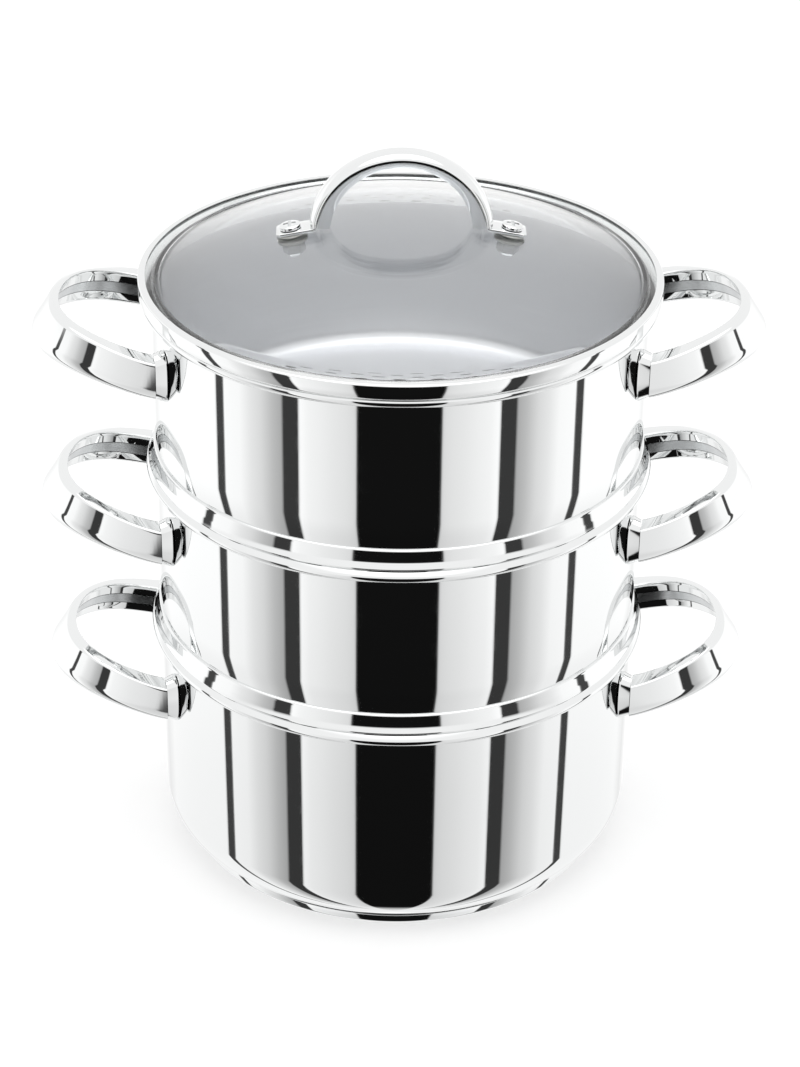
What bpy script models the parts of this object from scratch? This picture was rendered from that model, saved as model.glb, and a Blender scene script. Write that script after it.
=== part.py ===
"""Three-tier steamer pot with a glass lid, modelled in metres with +Z up.

The origin is the middle of the base's underside. The front faces -Y and the
side handles lie along X. A pan with an encapsulated base carries two inserts
with perforated floors. Each insert has a collar that sits on the bead of the
vessel below, and a spigot that drops into that vessel's mouth. The lid is a
domed glass in a steel ring, with an arched handle held by two screws.

Each vessel and the lid is parented to an empty at its own seat, so it lifts
straight off along Z.
"""

import math

import bmesh
import bpy
from mathutils import Vector

# Fits and sheet
CLEARANCE = 0.0003
SHEET = 0.0007
MOUTH_PLAY = 0.0006

# Vessel walls and the rolled bead at each mouth
BODY_RADIUS = 0.1002
BEAD_PROUD = 0.0038
RIM_RADIUS = BODY_RADIUS + BEAD_PROUD
BEAD_HEIGHT = 0.0062
BEAD_NECK = 0.0005

# Pan and its encapsulated base
PAN_HEIGHT = 0.0952
PAN_CORNER_WIDTH = 0.0098
PAN_CORNER_HEIGHT = 0.0145
BASE_SETBACK = 0.0090
BASE_RADIUS = BODY_RADIUS - BASE_SETBACK
CAP_HEIGHT = 0.0038
CAP_SHEET = 0.0006
CAP_EDGE_RADIUS = 0.0011
CORE_BAND = 0.0014
CORE_INSET = 0.0004

# Inserts
INSERT_HEIGHT = 0.0743
INSERT_DRAW_IN = 0.0027
INSERT_WAIST_RADIUS = BODY_RADIUS - INSERT_DRAW_IN
INSERT_TAPER_HEIGHT = 0.0160
INSERT_CORNER_WIDTH = 0.0080
INSERT_FLOOR_LIFT = 0.0005

# Steam holes, in rings round a hole in the middle
HOLE_RADIUS = 0.0031
HOLE_RING_PITCH = 0.0180
HOLE_RINGS = 3
HOLES_IN_FIRST_RING = 6
HOLE_SIDES = 8
CUT_OVERRUN = 0.0020

# Seating collar
COLLAR_HEIGHT = 0.0078
COLLAR_SHEET = 0.0008
COLLAR_PROUD = 0.0003
COLLAR_BAND_RADIUS = BODY_RADIUS + COLLAR_PROUD
COLLAR_FLARE = 0.0026
COLLAR_FOOT_RADIUS = COLLAR_BAND_RADIUS + COLLAR_FLARE
COLLAR_FLARE_HEIGHT = 0.0032
COLLAR_SHOULDER = 0.0010
SPIGOT_DEPTH = 0.0065
SPIGOT_TIP = 0.0005

# Side handles
HANDLE_DROP = 0.0246
HANDLE_PROJECTION = 0.0476
HANDLE_REACH = BODY_RADIUS + HANDLE_PROJECTION
HANDLE_TIP_WIDTH = 0.0101
HANDLE_INNER_REACH = HANDLE_REACH - HANDLE_TIP_WIDTH
HANDLE_HALF_SPAN = 0.0440
HANDLE_ARM_WIDTH = 0.0062
HANDLE_INNER_HALF_SPAN = HANDLE_HALF_SPAN - HANDLE_ARM_WIDTH
HANDLE_HEIGHT = 0.0180
HANDLE_TIP_HEIGHT = 0.0152
HANDLE_RISE = 0.0096
HANDLE_SHEET = 0.0008
HANDLE_SLOT = 0.0054
HANDLE_STATIONS = 11
OUTER_LOOP_POWER = 3.3
INNER_LOOP_POWER = 1.5
HANDLE_SECTION_SHARES = (
    (0.00, 0.55),
    (0.40, 1.00),
    (0.78, 0.96),
    (1.00, 0.42),
)
FOOT_WIDTH = 0.0110
FOOT_HEIGHT = 0.0206
FOOT_THICKNESS = 0.0013
FOOT_DROP = 0.0004
FOOT_SIDES = 12
ARM_GAP = 0.0006

# Lid ring and glass
LID_OVERHANG = 0.00107
LID_RING_RADIUS = RIM_RADIUS + LID_OVERHANG
LID_RING_SHEET = 0.0004
LID_RING_BULGE = 0.00317
LID_LIP_RADIUS = LID_RING_RADIUS - LID_RING_BULGE
LID_SKIRT_DEPTH = 0.0065
GLASS_THICKNESS = 0.0030
GLASS_EDGE_SETBACK = 0.0021
GLASS_EDGE_ROUND = 0.0006
GLASS_BORDER = 0.0049
DOME_FOOT_RADIUS = LID_LIP_RADIUS - GLASS_BORDER
DOME_RISE = 0.0205
DOME_STEPS = 6

# Lid handle
ARCH_HALF_WIDTH = 0.0366
ARCH_RISE = 0.0343
COVER_WIDTH = 0.0130
COVER_TOP_DEPTH = 0.0058
COVER_FOOT_DEPTH = 0.0083
COVER_SHEET = 0.0010
COVER_SHOULDER = 0.0030
STRAP_WIDTH = 0.0104
STRAP_THICKNESS = 0.0012
STRAP_BEND = 0.0020
TAB_END = 0.0058
TAB_CLIP = 0.0018
ARCH_STATIONS = 15

# Fasteners, on lines square to the glass
SCREW_OFFSET = 0.0068
SCREW_SPREAD = ARCH_HALF_WIDTH + SCREW_OFFSET
SCREW_HEAD_RADIUS = 0.00425
SCREW_HEAD_HEIGHT = 0.0019
SCREW_CROWN_SHARE = 0.45
SHANK_RADIUS = 0.0020
RECESS_LENGTH = 0.0046
RECESS_WIDTH = 0.0011
RECESS_DEPTH = 0.0011
UPPER_SEAL_THICKNESS = 0.0005
LOWER_SEAL_THICKNESS = 0.0010
LOWER_SEAL_PLAY = 0.0006
SEAL_RADIUS = 0.0061
NUT_RADIUS = 0.0045
NUT_HEIGHT = 0.0050
NUT_CAP = 0.0012
THREAD_LENGTH = 0.0032

# Facets of the turned pieces
TURN_STEPS = 32
SMALL_STEPS = 12
HALF_TURN = math.pi
QUARTER_TURN = math.pi / 2

# Heights that follow from the sizes above
MOUTH_RADIUS = BODY_RADIUS - SHEET
PAN_UNDERSIDE = CAP_HEIGHT + CLEARANCE + CORE_BAND + CLEARANCE
PAN_RIM = PAN_UNDERSIDE + PAN_HEIGHT
LOWER_SEAT = PAN_RIM + CLEARANCE
UPPER_SEAT = LOWER_SEAT + INSERT_HEIGHT + CLEARANCE
LID_SEAT = UPPER_SEAT + INSERT_HEIGHT + CLEARANCE
GLASS_UNDERSIDE = LID_RING_SHEET + CLEARANCE
GLASS_FLANGE_TOP = GLASS_UNDERSIDE + GLASS_THICKNESS
GLASS_APEX = GLASS_FLANGE_TOP + DOME_RISE
DOME_RADIUS = (DOME_FOOT_RADIUS ** 2 + DOME_RISE ** 2) / (2 * DOME_RISE)
DOME_CENTRE = GLASS_APEX - DOME_RADIUS
SCREW_TILT = math.asin(SCREW_SPREAD / DOME_RADIUS)


def clear_scene():
    """Remove every object of the open scene."""
    for item in list(bpy.data.objects):
        bpy.data.objects.remove(item, do_unlink=True)


def new_collection(name):
    """Add a collection to the scene and return it."""
    collection = bpy.data.collections.new(name)
    bpy.context.scene.collection.children.link(collection)
    return collection


def principled(name, colour, metallic, roughness, transmission=0.0):
    """Return a new Principled BSDF material."""
    material = bpy.data.materials.new(name)
    material.use_nodes = True
    shader = material.node_tree.nodes["Principled BSDF"]
    shader.inputs["Base Color"].default_value = (*colour, 1.0)
    shader.inputs["Metallic"].default_value = metallic
    shader.inputs["Roughness"].default_value = roughness
    shader.inputs["Transmission Weight"].default_value = transmission
    material.diffuse_color = (*colour, 1.0)
    return material


def polished_steel(piece_name):
    """Mirror-polished stainless steel."""
    return principled(piece_name + "_steel", (0.86, 0.87, 0.88), 1.0, 0.06)


def satin_steel(piece_name):
    """Stainless steel as it leaves the press, with a soft sheen."""
    return principled(piece_name + "_steel", (0.74, 0.75, 0.76), 1.0, 0.28)


def bare_aluminium(piece_name):
    """Machined aluminium."""
    return principled(piece_name + "_aluminium", (0.80, 0.81, 0.82), 1.0, 0.35)


def clear_glass(piece_name):
    """Toughened clear glass."""
    return principled(piece_name + "_glass", (0.95, 0.97, 0.96), 0.0, 0.02, 0.95)


def clear_silicone(piece_name):
    """Milky silicone rubber."""
    return principled(piece_name + "_silicone", (0.83, 0.84, 0.82), 0.0, 0.45, 0.3)


def add_object(name, mesh, material, home, parent=None):
    """Put a mesh in the model as one named piece."""
    piece = bpy.data.objects.new(name, mesh)
    if not mesh.materials:
        mesh.materials.append(material)
    piece.parent = parent
    home.objects.link(piece)
    return piece


def add_seat(name, height, home):
    """Add the empty that a vessel or the lid lifts off with."""
    seat = bpy.data.objects.new(name, None)
    seat.location = (0.0, 0.0, height)
    home.objects.link(seat)
    return seat


def arc(centre, half_width, half_height, start, end, steps):
    """Points of an elliptical arc in the (radius, height) plane."""
    points = []
    for step in range(steps + 1):
        angle = start + (end - start) * step / steps
        radius = centre[0] + half_width * math.cos(angle)
        height = centre[1] + half_height * math.sin(angle)
        points.append((radius, height))
    return points


def turned_mesh(name, outline, closed, steps):
    """Turn an outline round Z with a Screw modifier and return the mesh.

    The outline is a list of (radius, height) points that runs down the
    outer side. An open outline starts and ends on the axis.
    """
    mesh = bpy.data.meshes.new(name + "_outline")
    points = [(radius, 0.0, height) for radius, height in outline]
    edges = [(index, index + 1) for index in range(len(points) - 1)]
    if closed:
        edges.append((len(points) - 1, 0))
    mesh.from_pydata(points, edges, [])
    blank = bpy.data.objects.new(name + "_blank", mesh)
    bpy.context.scene.collection.objects.link(blank)
    screw = blank.modifiers.new("Turn", "SCREW")
    screw.axis = "Z"
    screw.angle = 2 * HALF_TURN
    screw.steps = steps
    screw.render_steps = steps
    screw.use_merge_vertices = True
    screw.merge_threshold = 0.00001
    screw.use_smooth_shade = False
    bpy.context.view_layer.update()
    graph = bpy.context.evaluated_depsgraph_get()
    solid = bpy.data.meshes.new_from_object(blank.evaluated_get(graph))
    solid.name = name
    bpy.data.objects.remove(blank, do_unlink=True)
    bpy.data.meshes.remove(mesh)
    smooth(solid)
    return solid


def smooth(mesh):
    """Shade a mesh smooth except across its hard edges."""
    mesh.shade_smooth()
    mesh.set_sharp_from_angle(angle=math.radians(32.0))


def flatten_floors(mesh):
    """Merge the facets of each flat floor into one face, ready to be cut."""
    shape = bmesh.new()
    shape.from_mesh(mesh)
    bmesh.ops.dissolve_limit(
        shape,
        angle_limit=math.radians(0.1),
        use_dissolve_boundaries=False,
        verts=shape.verts,
        edges=shape.edges,
    )
    shape.to_mesh(mesh)
    shape.free()


def lofted_mesh(name, sections, closed):
    """Skin a list of sections with the same number of points.

    A closed section gets end caps, and an open one gives an open surface.
    """
    shape = bmesh.new()
    rows = [[shape.verts.new(point) for point in section] for section in sections]
    count = len(rows[0])
    spans = count if closed else count - 1
    for row, following in zip(rows, rows[1:]):
        for index in range(spans):
            right = (index + 1) % count
            corners = (row[index], row[right], following[right], following[index])
            shape.faces.new(corners)
    if closed:
        shape.faces.new(list(reversed(rows[0])))
        shape.faces.new(rows[-1])
    mesh = bpy.data.meshes.new(name)
    shape.to_mesh(mesh)
    shape.free()
    smooth(mesh)
    return mesh


def subtract(piece, cutter, cutter_home):
    """Cut one object out of a piece with an exact Boolean."""
    cutter_home.objects.link(cutter)
    cutter.hide_render = True
    cutter.display_type = "WIRE"
    cut = piece.modifiers.new("Cut", "BOOLEAN")
    cut.operation = "DIFFERENCE"
    cut.solver = "EXACT"
    cut.object = cutter


def bead_outline(rim):
    """The mouth of a vessel: up the inner wall, over the bead, back to the wall."""
    half_width = (RIM_RADIUS - MOUTH_RADIUS) / 2
    half_height = BEAD_HEIGHT / 2
    centre = (MOUTH_RADIUS + half_width, rim - half_height)
    end = math.radians(-70.0)
    points = arc(centre, half_width, half_height, HALF_TURN, end, 6)
    points.append((BODY_RADIUS, rim - BEAD_HEIGHT - BEAD_NECK))
    return points


def pan_outline():
    """Half section of the pan, from the inside floor to the underside."""
    corner = (BODY_RADIUS - PAN_CORNER_WIDTH, PAN_UNDERSIDE + PAN_CORNER_HEIGHT)
    inner_width = PAN_CORNER_WIDTH - SHEET
    inner_height = PAN_CORNER_HEIGHT - SHEET
    points = [(0.0, PAN_UNDERSIDE + SHEET)]
    points += arc(corner, inner_width, inner_height, -QUARTER_TURN, 0.0, 3)
    points += bead_outline(PAN_RIM)
    points += arc(corner, PAN_CORNER_WIDTH, PAN_CORNER_HEIGHT, 0.0, -QUARTER_TURN, 4)
    points.append((0.0, PAN_UNDERSIDE))
    return points


def taper_point(share, offset):
    """Point of an insert's drawn-in wall; share 0 is its top, 1 the waist."""
    draw_in = INSERT_DRAW_IN * share ** 2
    height = COLLAR_HEIGHT + INSERT_TAPER_HEIGHT * (1 - share)
    return (BODY_RADIUS - offset - draw_in, height)


def insert_outline():
    """Half section of an insert, whose seat is at height zero."""
    corner = (INSERT_WAIST_RADIUS - INSERT_CORNER_WIDTH, COLLAR_HEIGHT)
    corner_height = COLLAR_HEIGHT - INSERT_FLOOR_LIFT
    inner_width = INSERT_CORNER_WIDTH - SHEET
    inner_height = corner_height - SHEET
    points = [(0.0, INSERT_FLOOR_LIFT + SHEET)]
    points += arc(corner, inner_width, inner_height, -QUARTER_TURN, 0.0, 3)
    points += [taper_point(share, SHEET) for share in (0.5, 0.0)]
    points += bead_outline(INSERT_HEIGHT)
    points += [taper_point(share, 0.0) for share in (0.0, 0.5)]
    points += arc(corner, INSERT_CORNER_WIDTH, corner_height, 0.0, -QUARTER_TURN, 3)
    points.append((0.0, INSERT_FLOOR_LIFT))
    return points


def collar_outline():
    """Closed section of a seating collar with its spigot."""
    spigot = MOUTH_RADIUS - MOUTH_PLAY
    bore = spigot - COLLAR_SHEET
    top_bore = INSERT_WAIST_RADIUS + CLEARANCE
    band_bore = COLLAR_BAND_RADIUS - COLLAR_SHEET
    flare_middle = (COLLAR_BAND_RADIUS * 3 + COLLAR_FOOT_RADIUS) / 4
    return [
        (top_bore, COLLAR_HEIGHT),
        (COLLAR_BAND_RADIUS - COLLAR_SHOULDER, COLLAR_HEIGHT - COLLAR_SHOULDER / 4),
        (COLLAR_BAND_RADIUS, COLLAR_HEIGHT - COLLAR_SHOULDER),
        (COLLAR_BAND_RADIUS, COLLAR_FLARE_HEIGHT),
        (flare_middle, COLLAR_FLARE_HEIGHT / 2),
        (COLLAR_FOOT_RADIUS, COLLAR_SHEET / 2),
        (COLLAR_FOOT_RADIUS, 0.0),
        (spigot, 0.0),
        (spigot, SPIGOT_TIP - SPIGOT_DEPTH),
        (spigot - SPIGOT_TIP, -SPIGOT_DEPTH),
        (bore, SPIGOT_TIP - SPIGOT_DEPTH),
        (bore, COLLAR_SHEET),
        (band_bore, COLLAR_FLARE_HEIGHT),
        (band_bore, COLLAR_HEIGHT - COLLAR_SHOULDER),
        (top_bore, COLLAR_HEIGHT - COLLAR_SHEET),
    ]


def core_outline():
    """Half section of the aluminium disc, with the band that shows."""
    inside = BASE_RADIUS - CAP_SHEET - CLEARANCE
    band = BASE_RADIUS - CORE_INSET
    band_foot = CAP_HEIGHT + CLEARANCE
    floor = CAP_SHEET + CLEARANCE
    top = PAN_UNDERSIDE - CLEARANCE
    return [
        (0.0, top),
        (band - CORE_INSET, top),
        (band, top - CORE_INSET),
        (band, band_foot),
        (inside, band_foot),
        (inside, floor + CAP_EDGE_RADIUS),
        (inside - CAP_EDGE_RADIUS, floor),
        (0.0, floor),
    ]


def cap_outline():
    """Half section of the dished cap under the disc."""
    bore = BASE_RADIUS - CAP_SHEET
    edge = (BASE_RADIUS - CAP_EDGE_RADIUS, CAP_EDGE_RADIUS)
    points = [
        (0.0, CAP_SHEET),
        (bore - CAP_EDGE_RADIUS, CAP_SHEET),
        (bore, CAP_SHEET + CAP_EDGE_RADIUS),
        (bore, CAP_HEIGHT),
        (BASE_RADIUS, CAP_HEIGHT),
    ]
    points += arc(edge, CAP_EDGE_RADIUS, CAP_EDGE_RADIUS, 0.0, -QUARTER_TURN, 2)
    points.append((0.0, 0.0))
    return points


def hole_centres():
    """Centres of the steam holes: one in the middle, then even rings."""
    centres = [(0.0, 0.0)]
    for ring in range(1, HOLE_RINGS + 1):
        count = HOLES_IN_FIRST_RING * ring
        for index in range(count):
            angle = 2 * HALF_TURN * index / count
            radius = HOLE_RING_PITCH * ring
            centres.append((radius * math.cos(angle), radius * math.sin(angle)))
    return centres


def hole_cutter(name):
    """One mesh of prisms that punches every steam hole."""
    shape = bmesh.new()
    depth = SHEET + 2 * CUT_OVERRUN
    middle = INSERT_FLOOR_LIFT + SHEET / 2
    for across, along in hole_centres():
        made = bmesh.ops.create_cone(
            shape,
            cap_ends=True,
            segments=HOLE_SIDES,
            radius1=HOLE_RADIUS,
            radius2=HOLE_RADIUS,
            depth=depth,
        )
        bmesh.ops.translate(shape, verts=made["verts"], vec=(across, along, middle))
    mesh = bpy.data.meshes.new(name)
    shape.to_mesh(mesh)
    shape.free()
    return bpy.data.objects.new(name, mesh)


def loop_point(share, reach, half_span, power):
    """Point of a handle's edge in plan; share 0 is the foot, 1 the far end."""
    root = arm_root(half_span)
    across = half_span * math.sqrt(1 - share ** power)
    return (root + (reach - root) * share, across)


def outer_loop(share):
    """Outer edge of a handle in plan."""
    return loop_point(share, HANDLE_REACH, HANDLE_HALF_SPAN, OUTER_LOOP_POWER)


def inner_loop(share):
    """Inner edge of a handle in plan."""
    return loop_point(share, HANDLE_INNER_REACH, HANDLE_INNER_HALF_SPAN, INNER_LOOP_POWER)


def arm_root(half_span):
    """Distance along X at which an arm meets the face of its foot."""
    face = BODY_RADIUS + CLEARANCE + FOOT_THICKNESS + ARM_GAP
    return math.sqrt(face ** 2 - half_span ** 2)


def even_points(curve, count, samples=400):
    """Points of a plan curve at even steps of its length."""
    line = [Vector(curve(step / samples)) for step in range(samples + 1)]
    lengths = [0.0]
    for start, end in zip(line, line[1:]):
        lengths.append(lengths[-1] + (end - start).length)
    points = []
    place = 0
    for index in range(count):
        target = lengths[-1] * index / (count - 1)
        while place < samples - 1 and lengths[place + 1] < target:
            place += 1
        span = lengths[place + 1] - lengths[place]
        share = (target - lengths[place]) / span
        points.append(line[place].lerp(line[place + 1], share))
    return points


def handle_stations():
    """Pairs of inner and outer plan points, from the rear foot to the front."""
    half = HANDLE_STATIONS // 2 + 1
    pairs = list(zip(even_points(inner_loop, half), even_points(outer_loop, half)))
    rear = [(inner.copy(), outer.copy()) for inner, outer in pairs]
    front = []
    for inner, outer in reversed(pairs[:-1]):
        front.append((Vector((inner.x, -inner.y)), Vector((outer.x, -outer.y))))
    return rear + front


def reach_share(plan):
    """How far out a plan point of a handle lies; 0 is the foot, 1 the far end."""
    root = arm_root(HANDLE_HALF_SPAN)
    return (plan.x - root) / (HANDLE_REACH - root)


def handle_point(inner, outer, inset, height):
    """Place a section point: inset from the inner edge and raised with reach."""
    plan = inner + (outer - inner).normalized() * inset
    rise = HANDLE_RISE * math.sin(QUARTER_TURN * reach_share(plan))
    return (plan.x, plan.y, height + rise)


def shell_section(inner, outer):
    """Open section of a handle's outer shell, from lower lip to upper lip."""
    thickness = (outer - inner).length
    taper = (HANDLE_HEIGHT - HANDLE_TIP_HEIGHT) * reach_share((inner + outer) / 2)
    half_height = (HANDLE_HEIGHT - taper) / 2
    upper = [(0.0, HANDLE_SLOT / 2)]
    for inset_share, height_share in HANDLE_SECTION_SHARES:
        upper.append((thickness * inset_share, half_height * height_share))
    lower = [(inset, -height) for inset, height in upper]
    outline = lower + list(reversed(upper))
    return [handle_point(inner, outer, *point) for point in outline]


def liner_section(inner, outer):
    """Closed section of the strip between the shell's lips."""
    edge = HANDLE_SLOT / 2 - CLEARANCE
    corners = [(0.0, edge), (0.0, -edge), (HANDLE_SHEET, -edge), (HANDLE_SHEET, edge)]
    return [handle_point(inner, outer, *corner) for corner in corners]


def handle_shell_mesh():
    """Outer shell of a side handle, lofted round the loop and open inside."""
    sections = [shell_section(inner, outer) for inner, outer in handle_stations()]
    return lofted_mesh("handle_shell", sections, closed=False)


def handle_liner_mesh():
    """Liner strip of a side handle."""
    sections = [liner_section(inner, outer) for inner, outer in handle_stations()]
    return lofted_mesh("handle_liner", sections, closed=True)


def foot_mesh():
    """Oval foot that follows the wall, centred on +X at height zero."""
    shape = bmesh.new()
    made = bmesh.ops.create_circle(
        shape,
        cap_ends=True,
        cap_tris=True,
        segments=FOOT_SIDES,
        radius=0.5,
    )
    radius = BODY_RADIUS + CLEARANCE + FOOT_THICKNESS
    for vert in made["verts"]:
        angle = vert.co.x * FOOT_WIDTH / radius
        height = vert.co.y * FOOT_HEIGHT - FOOT_DROP
        vert.co = (radius * math.cos(angle), radius * math.sin(angle), height)
    mesh = bpy.data.meshes.new("handle_foot")
    shape.to_mesh(mesh)
    shape.free()
    smooth(mesh)
    return mesh


def add_sheet(piece, thickness):
    """Give an open surface its sheet thickness, inwards from its face."""
    sheet = piece.modifiers.new("Sheet", "SOLIDIFY")
    sheet.thickness = thickness
    sheet.offset = -1.0
    sheet.use_even_offset = True


def add_handle(prefix, turn, rim, meshes, home, seat):
    """Add one side handle with its liner and two feet."""
    shell_mesh, liner_mesh, pad_mesh = meshes
    middle = rim - HANDLE_DROP
    shell_name = prefix + "_handle_shell"
    shell = add_object(shell_name, shell_mesh, polished_steel(shell_name), home, seat)
    add_sheet(shell, HANDLE_SHEET)
    liner_name = prefix + "_handle_liner"
    liner = add_object(liner_name, liner_mesh, satin_steel(liner_name), home, seat)
    pieces = [(shell, 0.0), (liner, 0.0)]
    arm_middle = (HANDLE_HALF_SPAN + HANDLE_INNER_HALF_SPAN) / 2
    arm_angle = math.asin(arm_middle / (BODY_RADIUS + FOOT_THICKNESS))
    front_sign = -math.cos(turn)
    for label, sign in (("_front_foot", front_sign), ("_rear_foot", -front_sign)):
        name = prefix + label
        foot = add_object(name, pad_mesh, polished_steel(name), home, seat)
        add_sheet(foot, FOOT_THICKNESS)
        pieces.append((foot, sign * arm_angle))
    for piece, extra in pieces:
        piece.location = (0.0, 0.0, middle)
        piece.rotation_euler = (0.0, 0.0, turn + extra)


def add_handle_pair(prefix, rim, meshes, home, seat):
    """Add the left and the right handle of a vessel."""
    add_handle(prefix + "_right", 0.0, rim, meshes, home, seat)
    add_handle(prefix + "_left", HALF_TURN, rim, meshes, home, seat)


def add_pan(home, seat, handle_meshes):
    """The pan with its base and handles."""
    shell = turned_mesh("pan_shell", pan_outline(), False, TURN_STEPS)
    add_object("pan_shell", shell, polished_steel("pan_shell"), home, seat)
    core = turned_mesh("base_core", core_outline(), False, TURN_STEPS)
    add_object("base_core", core, bare_aluminium("base_core"), home, seat)
    cap = turned_mesh("base_cap", cap_outline(), False, TURN_STEPS)
    add_object("base_cap", cap, polished_steel("base_cap"), home, seat)
    add_handle_pair("pan", PAN_RIM, handle_meshes, home, seat)


def add_insert(prefix, home, cutters, seat, handle_meshes):
    """One perforated insert with its collar and handles."""
    shell_name = prefix + "_steamer_shell"
    mesh = turned_mesh(shell_name, insert_outline(), False, TURN_STEPS)
    flatten_floors(mesh)
    shell = add_object(shell_name, mesh, polished_steel(shell_name), home, seat)
    cutter = hole_cutter(prefix + "_hole_cutter")
    cutter.parent = seat
    subtract(shell, cutter, cutters)
    collar_name = prefix + "_steamer_collar"
    collar = turned_mesh(collar_name, collar_outline(), True, TURN_STEPS)
    add_object(collar_name, collar, polished_steel(collar_name), home, seat)
    add_handle_pair(prefix, INSERT_HEIGHT, handle_meshes, home, seat)


def ring_outline():
    """Closed section of the lid ring: bulged rim, groove and skirt."""
    groove_top = GLASS_FLANGE_TOP + CLEARANCE
    half_height = (groove_top + LID_RING_SHEET) / 2
    half_width = LID_RING_BULGE
    centre = (LID_LIP_RADIUS, half_height)
    inner_half_width = half_width - LID_RING_SHEET
    inner_half_height = half_height - LID_RING_SHEET
    skirt = MOUTH_RADIUS - MOUTH_PLAY
    skirt_bore = skirt - 2 * LID_RING_SHEET
    bend = LID_RING_SHEET
    start = QUARTER_TURN
    points = arc(centre, half_width, half_height, start, -start, 5)
    points += [
        (skirt + bend, 0.0),
        (skirt, -bend),
        (skirt, bend - LID_SKIRT_DEPTH),
        (skirt - bend, -LID_SKIRT_DEPTH),
        (skirt_bore, bend - LID_SKIRT_DEPTH),
        (skirt_bore, 0.0),
        (skirt, LID_RING_SHEET),
    ]
    points += arc(centre, inner_half_width, inner_half_height, -start, start, 4)
    return points


def dome_height(radius, depth=0.0):
    """Height of the glass above the lid's seat, at a depth below its face."""
    return DOME_CENTRE + math.sqrt((DOME_RADIUS - depth) ** 2 - radius ** 2)


def glass_outline():
    """Half section of the glass, from the apex over the edge and back."""
    edge = LID_RING_RADIUS - GLASS_EDGE_SETBACK
    chamfer = GLASS_EDGE_ROUND
    reach = (DOME_RADIUS - GLASS_THICKNESS) ** 2 - (GLASS_UNDERSIDE - DOME_CENTRE) ** 2
    inner_foot = math.sqrt(reach)
    points = []
    for step in range(DOME_STEPS + 1):
        radius = DOME_FOOT_RADIUS * step / DOME_STEPS
        points.append((radius, dome_height(radius)))
    points += [
        (edge - chamfer, GLASS_FLANGE_TOP),
        (edge, GLASS_FLANGE_TOP - chamfer),
        (edge, GLASS_UNDERSIDE + chamfer),
        (edge - chamfer, GLASS_UNDERSIDE),
    ]
    for step in range(DOME_STEPS - 1, -1, -1):
        radius = inner_foot * step / (DOME_STEPS - 1)
        points.append((radius, dome_height(radius, GLASS_THICKNESS)))
    return points


def screw_line_cutter(name, side):
    """Prism along one screw's line, for the hole in the glass."""
    shape = bmesh.new()
    radius = SHANK_RADIUS + 2 * CLEARANCE
    bmesh.ops.create_cone(
        shape,
        cap_ends=True,
        segments=SMALL_STEPS,
        radius1=radius,
        radius2=radius,
        depth=2 * (GLASS_THICKNESS + CUT_OVERRUN),
    )
    mesh = bpy.data.meshes.new(name)
    shape.to_mesh(mesh)
    shape.free()
    cutter = bpy.data.objects.new(name, mesh)
    stand_on_glass(cutter, side)
    return cutter


def stand_on_glass(piece, side):
    """Stand a piece on the glass at one screw, square to the glass."""
    piece.location = (side * SCREW_SPREAD, 0.0, dome_height(SCREW_SPREAD))
    piece.rotation_euler = (0.0, side * SCREW_TILT, 0.0)


def washer_outline(bore, radius, foot, thickness):
    """Closed section of a flat washer."""
    top = foot + thickness
    return [(bore, top), (radius, top), (radius, foot), (bore, foot)]


def screw_outline():
    """Half section of a pan-head screw with its shank."""
    foot = tab_top() + CLEARANCE
    crown = SCREW_HEAD_HEIGHT * SCREW_CROWN_SHARE
    shoulder = foot + SCREW_HEAD_HEIGHT - crown
    end = nut_top() - THREAD_LENGTH
    centre = (0.0, shoulder)
    points = arc(centre, SCREW_HEAD_RADIUS, crown, QUARTER_TURN, 0.0, 4)
    points[0] = (0.0, shoulder + crown)
    points += [
        (SCREW_HEAD_RADIUS, foot),
        (SHANK_RADIUS, foot),
        (SHANK_RADIUS, end),
        (0.0, end),
    ]
    return points


def tab_foot():
    """Height of a tab's underside above the glass, along the screw."""
    return CLEARANCE + UPPER_SEAL_THICKNESS + CLEARANCE


def tab_top():
    """Height of a tab's face above the glass, along the screw."""
    return tab_foot() + STRAP_THICKNESS


def nut_top():
    """Height of a nut's seat, below the glass and its seal."""
    return -GLASS_THICKNESS - LOWER_SEAL_PLAY - LOWER_SEAL_THICKNESS - CLEARANCE


def nut_bore_outline():
    """Half section of the threaded bore's cutter."""
    top = nut_top() + CUT_OVERRUN
    floor = nut_top() - THREAD_LENGTH - CLEARANCE
    bore = SHANK_RADIUS + CLEARANCE
    return [(0.0, top), (bore, top), (bore, floor), (0.0, floor)]


def recess_cutter(name, side):
    """Crossed bars that cut the drive recess of a screw."""
    shape = bmesh.new()
    top = tab_top() + CLEARANCE + SCREW_HEAD_HEIGHT
    for length, width in ((RECESS_LENGTH, RECESS_WIDTH), (RECESS_WIDTH, RECESS_LENGTH)):
        made = bmesh.ops.create_cube(shape, size=1.0)
        bar = (length, width, 2 * RECESS_DEPTH)
        bmesh.ops.scale(shape, verts=made["verts"], vec=bar)
        bmesh.ops.translate(shape, verts=made["verts"], vec=(0.0, 0.0, top))
    mesh = bpy.data.meshes.new(name)
    shape.to_mesh(mesh)
    shape.free()
    cutter = bpy.data.objects.new(name, mesh)
    stand_on_glass(cutter, side)
    return cutter


def add_screw(prefix, side, home, cutters, seat):
    """One screw through the tab and the glass."""
    name = prefix + "_screw"
    mesh = turned_mesh(name, screw_outline(), False, SMALL_STEPS)
    screw = add_object(name, mesh, polished_steel(name), home, seat)
    stand_on_glass(screw, side)
    cutter = recess_cutter(name + "_recess_cutter", side)
    cutter.parent = seat
    subtract(screw, cutter, cutters)
    screw.modifiers["Cut"].use_self = True


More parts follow.
